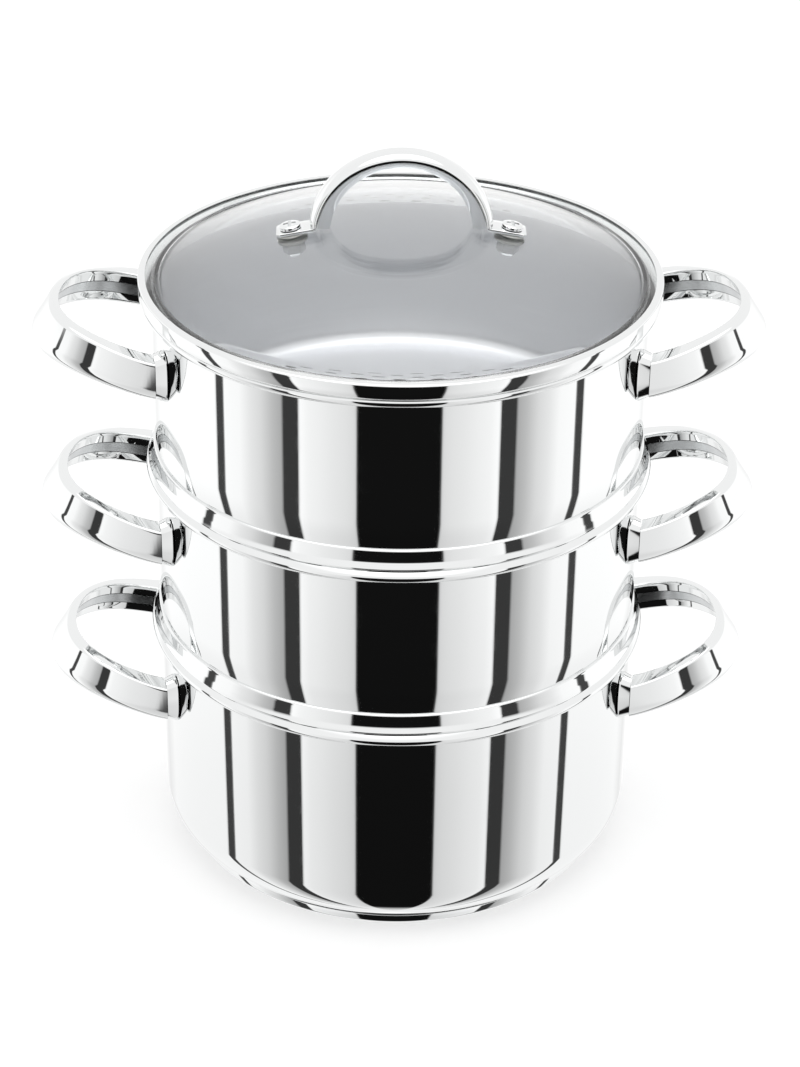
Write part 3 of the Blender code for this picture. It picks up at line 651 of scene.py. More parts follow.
class CrossRecess:
    """Cuts the cross of a recess into the top of a screw."""

    HARD_ANGLE = 40.0

    def __init__(self) -> None:
        """Build the tree."""
        inputs = {"Size": "Vector", "Height": "Float", "Finish": "Material"}
        self.recipe = Recipe("cross_recess", inputs)
        recipe, given = self.recipe, self.recipe.given
        x, y, z = add_node(recipe.tree, "ShaderNodeSeparateXYZ", {0: given["Size"]}).outputs
        blank = {"Mesh 1": given["Geometry"]}
        how = {"operation": "DIFFERENCE", "solver": "EXACT"}
        cut = add_node(recipe.tree, "GeometryNodeMeshBoolean", blank, **how)
        for size in (given["Size"], recipe.vector(X=y, Y=x, Z=z)):
            bar = recipe.add("GeometryNodeMeshCube", {"Size": size})
            bar = recipe.raised(bar, given["Height"])
            recipe.tree.links.new(bar, cut.inputs["Mesh 2"])
        whole = recipe.soften(cut.outputs[0], self.HARD_ANGLE)
        recipe.end(whole, (None, given["Finish"]))

    def cut(self, mesh: Mesh, finish: Finish, size: Point, height: float) -> Mesh:
        """Cut the cross.

        Args:
            mesh: The screw, upright at the origin. It is used up.
            finish: Finish of the screw.
            size: Length, width and depth of the cross's bars.
            height: Height of the bars' middle.

        Returns:
            The screw with its recess.
        """
        values = {"Size": size, "Height": height, "Finish": finish.material()}
        return self.recipe.run(mesh, values)


# --------------------------------------------------------------------------
# Shapes


def arc(centre: Pair, size: Pair | float, start: float, end: float, steps: int = 16) -> Outline:
    """Points of an arc in the (radius, height) plane.

    Args:
        centre: Middle of the circle or ellipse.
        size: Radius of the circle, or half width and half height of the ellipse.
        start: First angle, in radians.
        end: Last angle, in radians.
        steps: Number of spans.

    Returns:
        The points, with both ends.
    """
    width, height = size if isinstance(size, tuple) else (size, size)
    angles = [start + (end - start) * step / steps for step in range(steps + 1)]
    return [(centre[0] + width * math.cos(a), centre[1] + height * math.sin(a)) for a in angles]


def between(sizes: Pair, share: float) -> float:
    """Size at a share of the way from one value to the other."""
    return sizes[0] + (sizes[1] - sizes[0]) * share


def line(start: Pair, end: Pair, steps: int) -> Outline:
    """Points of a straight line, without its start."""
    shares = [step / steps for step in range(1, steps + 1)]
    return [(between((start[0], end[0]), s), between((start[1], end[1]), s)) for s in shares]


def outline_mesh(outline: Outline) -> Mesh:
    """Return an outline as a string of vertices in the XZ plane."""
    mesh = bpy.data.meshes.new("outline")
    mesh.from_pydata([(radius, 0.0, height) for radius, height in outline], [], [])
    return mesh


def loft(name: str, sections: Sequence[Sequence[Point]], closed: bool) -> Mesh:
    """Skin a list of sections with the same number of points.

    Args:
        name: The mesh's name.
        sections: The sections, in order.
        closed: Whether each section is a closed loop, which gets end caps.

    Returns:
        The mesh.
    """
    count = len(sections[0])
    spans = count if closed else count - 1
    points = [point for section in sections for point in section]
    faces: list[tuple[int, ...]] = []
    for row in range(len(sections) - 1):
        for index in range(spans):
            right = (index + 1) % count
            near, far = row * count, (row + 1) * count
            faces.append((near + index, near + right, far + right, far + index))
    if closed:
        faces.append(tuple(reversed(range(count))))
        faces.append(tuple(range(len(points) - count, len(points))))
    mesh = bpy.data.meshes.new(name)
    mesh.from_pydata(points, [], faces)
    mesh.validate()
    return mesh


def hold(mesh: Mesh) -> bpy.types.Object:
    """Put a mesh in the scene for a moment, so that modifiers can work on it."""
    holder = bpy.data.objects.new("blank", mesh)
    bpy.context.scene.collection.objects.link(holder)
    return holder


def bake(holder: bpy.types.Object) -> Mesh:
    """Return what the modifiers make of a held mesh, which is used up."""
    bpy.context.view_layer.update()
    graph = bpy.context.evaluated_depsgraph_get()
    result = bpy.data.meshes.new_from_object(holder.evaluated_get(graph))
    blank = holder.data
    holder.modifiers.clear()
    bpy.data.objects.remove(holder, do_unlink=True)
    bpy.data.meshes.remove(blank)
    return result


def finished(
    mesh: Mesh, finish: Finish, sheet: float = 0.0, bevel: float = 0.0, hard: float = 35.0
) -> Mesh:
    """Give a mesh its sheet thickness, its edges and its smooth shading.

    Args:
        mesh: The mesh. It is used up.
        finish: Finish of the piece.
        sheet: Thickness that an open surface gets, inwards from its face.
        bevel: Width of the rounding on hard edges.
        hard: Angle in degrees from which an edge counts as hard.

    Returns:
        The plain result.
    """
    holder = hold(mesh)
    if sheet:
        solid = holder.modifiers.new("Sheet", "SOLIDIFY")
        solid.thickness = sheet
        solid.offset = -1.0
        solid.use_even_offset = True
    if bevel:
        edges = holder.modifiers.new("Edges", "BEVEL")
        edges.width = bevel
        edges.segments = 3
        edges.limit_method = "ANGLE"
        edges.angle_limit = math.radians(hard)
    result = bake(holder)
    result.materials.clear()
    result.materials.append(finish.material())
    result.shade_smooth()
    result.set_sharp_from_angle(angle=math.radians(hard))
    return result


def place(name: str, mesh: Mesh, body: Body, slot: Slot, *stands_for: str) -> None:
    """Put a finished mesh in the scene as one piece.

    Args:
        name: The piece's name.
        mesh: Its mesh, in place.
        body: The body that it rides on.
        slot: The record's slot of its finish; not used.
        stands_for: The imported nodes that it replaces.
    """
    mesh.name = name
    mark = mesh.attributes.get("inside")
    if mark is not None:
        mesh.attributes.remove(mark)
    piece = bpy.data.objects.new(name, mesh)
    bpy.context.scene.collection.objects.link(piece)
    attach(piece, body.value)
    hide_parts(*stands_for)
    shape = bmesh.new()
    shape.from_mesh(mesh)
    open_edges = sum(1 for edge in shape.edges if not edge.is_manifold)
    volume = shape.calc_volume(signed=True) * CM3_PER_M3
    faces = sum(len(face.verts) - 2 for face in shape.faces)
    shape.free()
    log.info("%s: %d triangles, %.2f cm3, %d open edges", name, faces, volume, open_edges)


def raised(outline: Outline, height: float) -> Outline:
    """Return an outline raised by a height."""
    return [(radius, level + height) for radius, level in outline]


def rounded(corners: Sequence[Point], steps: int = 6) -> Outline:
    """Round the corners of an open polygon.

    Args:
        corners: (across, height, rounding) of each corner; the rounding is
            how far before and after the corner the curve starts and ends.
        steps: Spans of each rounded corner.

    Returns:
        The points of the rounded line.
    """
    spots = [Vector(corner[:2]) for corner in corners]
    points = []
    for index, (_, _, rounding) in enumerate(corners):
        corner = spots[index]
        if rounding == 0.0:
            points.append(tuple(corner))
            continue
        ends = []
        for other in (spots[index - 1], spots[index + 1]):
            way = other - corner
            ends.append(corner + way.normalized() * min(rounding, MOST_ROUNDING * way.length))
        points += [tuple(curve(ends[0], corner, ends[1], s / steps)) for s in range(steps + 1)]
    return points


def curve(start: Vector, corner: Vector, end: Vector, share: float) -> Vector:
    """Point of the curve that leaves and arrives along a corner's sides."""
    return start.lerp(corner, share).lerp(corner.lerp(end, share), share)


# --------------------------------------------------------------------------
# Side handles


@dataclass
class SideHandles:
    """Two pressed loop handles, each with a liner and two welded feet."""

    wall_radius: float = 0.1002
    clearance: float = 0.0003
    reach: float = 0.1455
    tip_width: float = 0.0046
    half_span: float = 0.0453
    arm_width: float = 0.0108
    splay: float = 0.0072
    rise: float = 0.0089
    rise_power: float = 1.41
    lean: float = 35.6
    lean_power: float = 1.5
    sheet: float = 0.0008
    slot: float = 0.0054
    outer_power: float = 2.38
    inner_power: float = 2.83
    drop: float = 0.0216
    stations: int = 97
    edge_samples: int = 1200
    hard_angle: float = 38.0

    # Shares of the section's thickness and half height, and its roundings
    crown_share: float = 0.12
    lip_share: float = 0.85
    belly_share: float = 0.58
    keel_share: float = 0.1
    least_flat: float = 0.0003
    lower_rounds: tuple[float, ...] = (0.0, 0.0008, 0.0008, 0.0030, 0.0036)
    upper_rounds: tuple[float, ...] = (0.0012, 0.0009, 0.0009, 0.0)

    # Sizes of the section, at the arms and at the far end
    height: Pair = (0.0130, 0.0190)
    ridge_drop: Pair = (0.0001, 0.0014)
    ridge_setback: Pair = (0.0003, 0.0007)
    keel_drop: Pair = (0.0034, 0.0000)
    keel_setback: Pair = (0.0020, 0.0038)

    # Feet, which end in a flat face across the arm
    face_reach: float = 0.10275
    face_angle: float = 11.0
    arm_gap: float = 0.0003
    foot_angle: Pair = (21.5, 21.5)
    foot_width: Pair = (0.0102, 0.0088)
    foot_height: Pair = (0.0215, 0.0180)
    foot_drop: Pair = (0.0023, 0.0017)
    foot_lip: float = 0.05
    foot_power: float = 2.6
    foot_steps: int = 8
    foot_sides: int = 64

    def root(self, half_span: float) -> float:
        """Distance along X at which an arm meets the face of its foot."""
        lean = math.radians(self.face_angle)
        gap = self.face_reach + self.arm_gap
        return (gap - half_span * math.sin(lean)) / math.cos(lean)

    def even_edge(
        self, reach: float, half_span: float, power: float, splay: float, count: int
    ) -> list[Vector]:
        """Points of one edge of the loop in plan, at even steps of its length.

        Args:
            reach: Far end of the edge.
            half_span: Half its span at the wall.
            power: How square the edge is.
            splay: How much the edge is drawn in between foot and far end.
            count: Number of points.

        Returns:
            The points from the foot to the far end.
        """
        samples, root = self.edge_samples, self.root(half_span)
        path = []
        for share in [step / samples for step in range(samples + 1)]:
            across = half_span * math.sqrt(max(1 - share**power, 0.0))
            across -= splay * share * (1 - share)
            path.append(Vector((root + (reach - root) * share, across)))
        lengths = [0.0]
        for start, end in zip(path, path[1:]):
            lengths.append(lengths[-1] + (end - start).length)
        points, spot = [], 0
        for index in range(count):
            target = lengths[-1] * index / (count - 1)
            while spot < samples - 1 and lengths[spot + 1] < target:
                spot += 1
            share = (target - lengths[spot]) / (lengths[spot + 1] - lengths[spot])
            points.append(path[spot].lerp(path[spot + 1], share))
        return points

    def pairs(self) -> list[tuple[Vector, Vector]]:
        """Pairs of inner and outer plan points, from the rear foot to the front."""
        half = self.stations // 2 + 1
        inner_span = self.half_span - self.arm_width
        inner_reach = self.reach - self.tip_width
        inner = self.even_edge(inner_reach, inner_span, self.inner_power, 0.0, half)
        outer = self.even_edge(self.reach, self.half_span, self.outer_power, self.splay, half)
        rear = list(zip(inner, outer))
        front = [(Vector((i.x, -i.y)), Vector((o.x, -o.y))) for i, o in reversed(rear[:-1])]
        return rear + front

    def reach_share(self, plan: Vector) -> float:
        """How far out a plan point lies; 0 is the foot, 1 the far end."""
        root = self.root(self.half_span)
        return (plan.x - root) / (self.reach - root)

    def lift(self, inner: Vector, outer: Vector, inset: float, height: float) -> Point:
        """Place a section point, inset from the inner edge, raised and leaned back."""
        outwards = (outer - inner).normalized()
        plan = inner + outwards * inset
        middle = max(self.reach_share((inner + outer) / 2), 0.0)
        lean = math.radians(self.lean) * middle**self.lean_power
        share = min(max(self.reach_share(plan), 0.0), 1.0)
        rise = self.rise * math.sin(QUARTER * share) ** self.rise_power
        plan -= outwards * (height * math.sin(lean))
        return (plan.x, plan.y, height * math.cos(lean) + rise)

    def shell_section(self, inner: Vector, outer: Vector) -> list[Point]:
        """Open section of the shell, from its lower lip to its upper lip."""
        thickness = (outer - inner).length
        share = self.reach_share((inner + outer) / 2)
        half = between(self.height, share) / 2
        setback, slump = between(self.ridge_setback, share), between(self.ridge_drop, share)
        keel, sag = between(self.keel_setback, share), between(self.keel_drop, share)
        crown, lip = self.crown_share * thickness, self.lip_share * half
        corners = [
            (0.0, -self.slot / 2),
            (0.0, -lip),
            (crown, -half),
            (max(thickness - keel, crown + self.least_flat), -half - sag),
            (thickness - self.keel_share * keel, -self.belly_share * half - sag),
            (thickness - setback, half - slump),
            (crown, half),
            (0.0, lip),
            (0.0, self.slot / 2),
        ]
        rounds = self.lower_rounds + self.upper_rounds
        outline = rounded([(*corner, size) for corner, size in zip(corners, rounds)])
        return [self.lift(inner, outer, *point) for point in outline]

    def liner_section(self, inner: Vector, outer: Vector) -> list[Point]:
        """Closed section of the strip between the shell's lips."""
        edge = self.slot / 2 - self.clearance
        corners = ((0.0, edge), (0.0, -edge), (self.sheet, -edge), (self.sheet, edge))
        return [self.lift(inner, outer, *corner) for corner in corners]

    def foot_point(self, turn: float, depth: float, side: int) -> Point:
        """Point of a foot's side.

        Args:
            turn: Angle round the foot's oval.
            depth: 0 at the wall, 1 at the face.
            side: -1 for the front foot, 1 for the rear one.

        Returns:
            The point.
        """
        flare = max(depth - self.foot_lip, 0.0) / (1 - self.foot_lip)
        sizes = (self.foot_angle, self.foot_width, self.foot_height, self.foot_drop)
        middle, width, tall, drop = (between(size, flare) for size in sizes)
        wall = self.wall_radius + self.clearance
        across, level = math.cos(turn), math.sin(turn)
        across = math.copysign(abs(across) ** (2 / self.foot_power), across)
        level = math.copysign(abs(level) ** (2 / self.foot_power), level)
        angle = math.radians(middle) + across * width / 2 / wall
        face = self.face_reach / math.cos(angle - math.radians(self.face_angle))
        radius = wall + (face - wall) * depth
        height = level * tall / 2 - drop
        return (radius * math.cos(angle), side * radius * math.sin(angle), height)

    def feet(self) -> Mesh:
        """Both feet of one handle: ovals that narrow from the wall to the arm."""
        lip, steps, count = self.foot_lip, self.foot_steps, self.foot_sides
        depths = [0.0, lip * 0.9, lip]
        depths += [lip + (1 - lip) * step / steps for step in range(1, steps + 1)]
        shape = bmesh.new()
        for side in (-1, 1):
            turns = [side * 2 * HALF * step / count for step in range(count)]
            rings = [[self.foot_point(turn, depth, side) for turn in turns] for depth in depths]
            foot = loft("handle_foot", rings, closed=True)
            shape.from_mesh(foot)
            bpy.data.meshes.remove(foot)
        both = bpy.data.meshes.new("handle_feet")
        shape.to_mesh(both)
        shape.free()
        return both

    def build(self, prefix: str, body: Body, rim: float, copies: PairCopies) -> None:
        """Build both handles of one vessel.

        Args:
            prefix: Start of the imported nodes' names.
            body: The body that they ride on.
            rim: Height of the vessel's rim.
            copies: The tree that copies a piece to both sides.
        """
        pairs = self.pairs()
        shell = loft("handle", [self.shell_section(i, o) for i, o in pairs], closed=False)
        shell = finished(shell, MIRROR, sheet=self.sheet, hard=self.hard_angle)
        liner = loft("liner", [self.liner_section(i, o) for i, o in pairs], closed=True)
        liner = finished(liner, SATIN)
        feet = finished(self.feet(), MIRROR)
        for label, mesh, finish, slot, ends in (
            ("side_handles", shell, MIRROR, Slot.POLISHED, ["handle_shell"]),
            ("handle_liners", liner, SATIN, Slot.SATIN, ["handle_liner"]),
            ("handle_feet", feet, MIRROR, Slot.POLISHED, ["front_foot", "rear_foot"]),
        ):
            nodes = [f"{prefix}_{side}_{end}" for side in ("left", "right") for end in ends]
            both = copies.copy(mesh, finish, rim - self.drop, turn=HALF)
            place(f"{prefix}_{label}", both, body, slot, *nodes)


# --------------------------------------------------------------------------
# Vessels


@dataclass
class Vessel:
    """What the pan and the inserts share: wall, sheet and rolled bead."""

    radius: float = 0.1002
    sheet: float = 0.0007
    rim_radius: float = 0.1040
    bead_height: float = 0.0051
    bead_roll: float = 0.0019
    bead_crown: float = 0.0015
    bead_neck: float = 0.0005
    mouth_play: float = 0.0006
    clearance: float = 0.0003
    brushed_spans: int = 4

    @property
    def mouth(self) -> float:
        """Inside radius of the mouth."""
        return self.radius - self.sheet

    @property
    def spigot(self) -> float:
        """Outside radius of what drops into a mouth."""
        return self.mouth - self.mouth_play

    def bead(self, rim: float) -> Outline:
        """Up the inner wall, over the crown, down the slope and round the roll."""
        crown = (self.mouth + self.bead_crown, rim - self.bead_crown)
        roll = (self.rim_radius - self.bead_roll, rim - self.bead_height + self.bead_roll)
        slope = QUARTER / 2
        points = arc(crown, self.bead_crown, HALF, slope, 18)
        points += arc(roll, self.bead_roll, slope, -QUARTER, 24)
        points.append((self.radius, rim - self.bead_height - self.bead_neck))
        return points


@dataclass
class Pan(Vessel):
    """Bottom pan with its encapsulated base."""

    height: float = 0.0952
    corner_width: float = 0.0098
    corner_height: float = 0.0145
    base_radius: float = 0.0912
    cap_height: float = 0.0038
    cap_sheet: float = 0.0006
    cap_edge: float = 0.0011
    core_band: float = 0.0014
    core_inset: float = 0.0004
    floor_ring: float = 0.05

    @property
    def underside(self) -> float:
        """Height of the vessel's underside, on the disc."""
        return self.cap_height + self.core_band + 2 * self.clearance

    @property
    def rim(self) -> float:
        """Height of the pan's rim."""
        return self.underside + self.height

    def shell(self, lathe: Lathe) -> Mesh:
        """Vessel from the inside floor over the bead to the underside."""
        corner = (self.radius - self.corner_width, self.underside + self.corner_height)
        inner_width = self.corner_width - self.sheet
        inner_height = self.corner_height - self.sheet
        floor = self.underside + self.sheet
        inside = [(0.0, floor), (self.floor_ring, floor)]
        inside += arc(corner, (inner_width, inner_height), -QUARTER, 0.0)
        outside = self.bead(self.rim)
        outside += arc(corner, (self.corner_width, self.corner_height), 0.0, -QUARTER)
        outside += [(self.floor_ring, self.underside), (0.0, self.underside)]
        spans = len(inside) + self.brushed_spans
        return lathe.turn(inside + outside, MIRROR, inside=BRUSHED, inside_spans=spans)

    def core(self, lathe: Lathe) -> Mesh:
        """Aluminium disc, with the band that shows above the cap."""
        inside = self.base_radius - self.cap_sheet - self.clearance
        band = self.base_radius - self.core_inset
        foot = self.cap_height + self.clearance
        floor = self.cap_sheet + self.clearance
        top = self.underside - self.clearance
        bend = self.core_inset
        outline = [(0.0, top), (self.floor_ring, top)]
        outline += arc((band - bend, top - bend), bend, QUARTER, 0.0, 6)
        outline += [
            (band, foot),
            (inside, foot),
            (inside, floor + self.cap_edge),
            (inside - self.cap_edge, floor),
            (0.0, floor),
        ]
        return lathe.turn(outline, ALUMINIUM)

    def cap(self, lathe: Lathe) -> Mesh:
        """Dished steel cap that wraps the disc."""
        bore = self.base_radius - self.cap_sheet
        edge = (self.base_radius - self.cap_edge, self.cap_edge)
        lip = self.cap_sheet / 2
        outline = [(0.0, self.cap_sheet), (bore - self.cap_edge, self.cap_sheet)]
        outline += [(bore, self.cap_sheet + self.cap_edge), (bore, self.cap_height - lip)]
        middle = (self.base_radius - lip, self.cap_height - lip)
        outline += arc(middle, lip, HALF, 0.0, 8)
        outline += arc(edge, self.cap_edge, 0.0, -QUARTER, 10)
        outline.append((0.0, 0.0))
        return lathe.turn(outline, MIRROR)

    def build(self, lathe: Lathe, handles: SideHandles, copies: PairCopies) -> None:
        """Build the pan, its base and its handles."""
        place("pan_vessel", self.shell(lathe), Body.PAN, Slot.POLISHED, "pan_shell")
        place("base_disc", self.core(lathe), Body.PAN, Slot.CORE, "base_core")
        place("base_wrap", self.cap(lathe), Body.PAN, Slot.POLISHED, "base_cap")
        handles.build("pan", Body.PAN, self.rim, copies)


@dataclass
class SteamerInsert(Vessel):
    """Perforated insert with its seating collar."""

    prefix: str = "lower"
    body: Body = Body.LOWER
    seat: float = 0.0
    height: float = 0.0743
    draw_in: float = 0.0004
    taper_height: float = 0.0105
    taper_steps: int = 12
    corner_width: float = 0.0080
    floor_lift: float = 0.0005
    hole_radius: float = 0.0031
    hole_sides: int = 24
    ring_pitch: float = 0.0180
    first_ring: int = 6
    collar_height: float = 0.0078
    collar_sheet: float = 0.0008
    collar_proud: float = 0.0006
    collar_lean: float = 0.0009
    collar_flare: float = 0.0013
    flare_height: float = 0.0034
    flare_power: float = 1.2
    flare_steps: int = 10
    shoulder: float = 0.0010
    spigot_depth: float = 0.0065
    spigot_tip: float = 0.0005

    @property
    def waist(self) -> float:
        """Radius of the drawn-in foot."""
        return self.radius - self.draw_in

    def taper(self, offset: float, downwards: bool) -> Outline:
        """Drawn-in stretch of the wall, at an offset inside its face."""
        points = []
        for step in range(self.taper_steps + 1):
            share = step / self.taper_steps
            share = share if downwards else 1 - share
            level = self.collar_height + self.taper_height * (1 - share)
            points.append((self.radius - offset - self.draw_in * share**2, level))
        return points

    def shell(self, lathe: PerforatingLathe) -> Mesh:
        """Vessel with its floor full of steam holes."""
        corner = (self.waist - self.corner_width, self.collar_height)
        corner_height = self.collar_height - self.floor_lift
        inner_width = self.corner_width - self.sheet
        inner_height = corner_height - self.sheet
        inside = arc(corner, (inner_width, inner_height), -QUARTER, 0.0, 12)[:-1]
        inside += self.taper(self.sheet, downwards=False)
        outside = self.bead(self.height) + self.taper(0.0, downwards=True)[:-1]
        outside += arc(corner, (self.corner_width, corner_height), 0.0, -QUARTER, 12)
        outline = raised(inside + outside, self.seat)
        spans = len(inside) + self.brushed_spans
        floor = {
            "Floor Radius": corner[0],
            "Floor Top": self.seat + self.floor_lift + self.sheet,
            "Floor Foot": self.seat + self.floor_lift,
            "Hole Radius": self.hole_radius,
            "Hole Sides": self.hole_sides,
            "Ring Pitch": self.ring_pitch,
            "First Ring": self.first_ring,
        }
        return lathe.turn(outline, MIRROR, inside=BRUSHED, inside_spans=spans, **floor)

    def collar(self, lathe: Lathe) -> Mesh:
        """Seating collar: band, flare, foot and the spigot inside it."""
        band = self.radius + self.collar_proud
        start = band + self.collar_lean
        foot = start + self.collar_flare
        bore = self.spigot - self.collar_sheet
        top_bore = self.waist + self.clearance
        bend = (band - self.shoulder, self.collar_height - self.shoulder)
        outline = [(top_bore, self.collar_height)]
        outline += arc(bend, self.shoulder, QUARTER, 0.0, 8)
        outline += line(outline[-1], (start, self.flare_height), 6)
        sheet, tip = self.collar_sheet, self.spigot_tip - self.spigot_depth
        for share in [step / self.flare_steps for step in range(1, self.flare_steps + 1)]:
            level = self.flare_height - (self.flare_height - sheet / 2) * share
            outline.append((start + self.collar_flare * share**self.flare_power, level))
        outline += [
            (foot, sheet / 4),
            (foot - sheet / 4, 0.0),
            (self.spigot, 0.0),
            (self.spigot, tip),
            (self.spigot - self.spigot_tip / 2, -self.spigot_depth),
            (bore, tip),
            (bore, sheet),
            (start - sheet, self.flare_height),
            (band - sheet, self.collar_height - self.shoulder),
            (top_bore, self.collar_height - sheet),
        ]
        return lathe.turn(raised(outline, self.seat), MIRROR, closed=True)

    def build(
        self,
        lathe: Lathe,
        perforating: PerforatingLathe,
        handles: SideHandles,
        copies: PairCopies,
    ) -> None:
        """Build the insert, its collar and its handles."""
        for label, mesh, part in (
            ("insert", self.shell(perforating), "shell"),
            ("collar_ring", self.collar(lathe), "collar"),
        ):
            node = f"{self.prefix}_steamer_{part}"
            place(f"{self.prefix}_{label}", mesh, self.body, Slot.POLISHED, node)
        handles.build(self.prefix, self.body, self.seat + self.height, copies)


# --------------------------------------------------------------------------
# Lid


@dataclass
class LidDome(Vessel):
    """Domed glass in its steel ring."""

    seat: float = 0.2505
    ring_radius: float = 0.10478
    ring_sheet: float = 0.0004
    ledge: float = 0.0025
    bulge: float = 0.0030
    shoulder: float = 0.0009
    barrel: float = 0.00012
    barrel_steps: int = 8
    foot_setback: float = 2.2
    foot_tuck: float = 1.5
    back_tuck: float = 0.9
    hang: float = 0.0015
    skirt_depth: float = 0.0065
    thickness: float = 0.0034
    glass_edge: float = 0.10297
    edge_round: float = 0.0006
    dome_foot: float = 0.0970
    dome_rise: float = 0.0201
    dome_steps: int = 40

    @property
    def flange_foot(self) -> float:
        """Height of the glass's underside at its edge, above the seat."""
        return self.ledge + self.clearance

    @property
    def flange_top(self) -> float:
        """Height of the glass's face at its edge, above the seat."""
        return self.ring_sheet + self.clearance + self.thickness

    @property
    def dome_radius(self) -> float:
        """Radius of the sphere that the dome is a part of."""
        return (self.dome_foot**2 + self.dome_rise**2) / (2 * self.dome_rise)

    @property
    def dome_centre(self) -> float:
        """Height of that sphere's centre, above the seat."""
        return self.flange_top + self.dome_rise - self.dome_radius

    def glass_height(self, radius: float, depth: float = 0.0) -> float:
        """Height of the glass's face, or of a point under it, above the seat."""
        return self.dome_centre + math.sqrt((self.dome_radius - depth) ** 2 - radius**2)

    def ring(self, lathe: Lathe) -> Mesh:
        """Ring rolled round the glass's edge, with its skirt."""
        sheet, bend = self.ring_sheet, self.shoulder
        outline = self.rolled_edge(0.0)
        outline += [(self.ring_radius - self.foot_setback * bend, 0.0), (self.spigot + sheet, 0.0)]
        outline += [(self.spigot, -sheet), (self.spigot, 1.5 * sheet - self.skirt_depth)]
        hem = (self.spigot - sheet, sheet - self.skirt_depth)
        outline += arc(hem, sheet, 0.0, -HALF, 8)
        outline += [(self.spigot - 2 * sheet, self.ledge - sheet), (self.spigot, self.ledge)]
        outline.append((self.ring_radius - sheet, self.ledge))
        back = reversed(self.rolled_edge(sheet))
        outline += [point for point in back if point[1] > self.ledge + sheet]
        return lathe.turn(raised(outline, self.seat), MIRROR, closed=True)

    def rolled_edge(self, depth: float) -> Outline:
        """Section of the ring's edge, at a depth inside its face.

        Args:
            depth: Zero for the face, the sheet's thickness for its back.

        Returns:
            Points from the lip on the glass down to the tucked foot.
        """
        bend = self.shoulder - depth
        top = self.flange_top + self.clearance + self.ring_sheet
        upper = (self.ring_radius - self.shoulder, top - self.shoulder)
        lower = (self.ring_radius - self.shoulder, self.shoulder - self.hang)
        points = [(self.ring_radius - self.bulge, top - depth)]
        points += arc(upper, bend, QUARTER, 0.0, 10)
        reach, rise = self.ring_radius - depth, upper[1] - lower[1]
        for share in [step / self.barrel_steps for step in range(1, self.barrel_steps)]:
            swell = self.barrel * (1 - (2 * share - 1) ** 2)
            points.append((reach + swell, upper[1] - rise * share))
        tuck = self.back_tuck if depth else self.foot_tuck
        points += arc(lower, bend, 0.0, -tuck * QUARTER, 12)
        return points

    def glass(self, lathe: Lathe) -> Mesh:
        """Glass from its apex over the edge and back under the dome."""
        edge, bend = self.glass_edge, self.edge_round
        step = self.spigot - 2 * self.ring_sheet - self.clearance
        outline = []
        for index in range(self.dome_steps + 1):
            radius = self.dome_foot * index / self.dome_steps
            outline.append((radius, self.glass_height(radius)))
        outline += arc((edge - bend, self.flange_top - bend), bend, QUARTER, 0.0, 6)
        outline += arc((edge - bend, self.flange_foot + bend), bend, 0.0, -QUARTER, 6)
        outline.append((step, self.flange_foot))
        for index in range(self.dome_steps, -1, -1):
            radius = step * index / self.dome_steps
            outline.append((radius, self.glass_height(radius, self.thickness)))
        return lathe.turn(raised(outline, self.seat), GLASS)

    def build(self, lathe: Lathe) -> None:
        """Build the glass and its ring."""
        place("lid_dome", self.glass(lathe), Body.LID, Slot.GLASS, "lid_glass")
        place("lid_rim_ring", self.ring(lathe), Body.LID, Slot.POLISHED, "lid_ring")


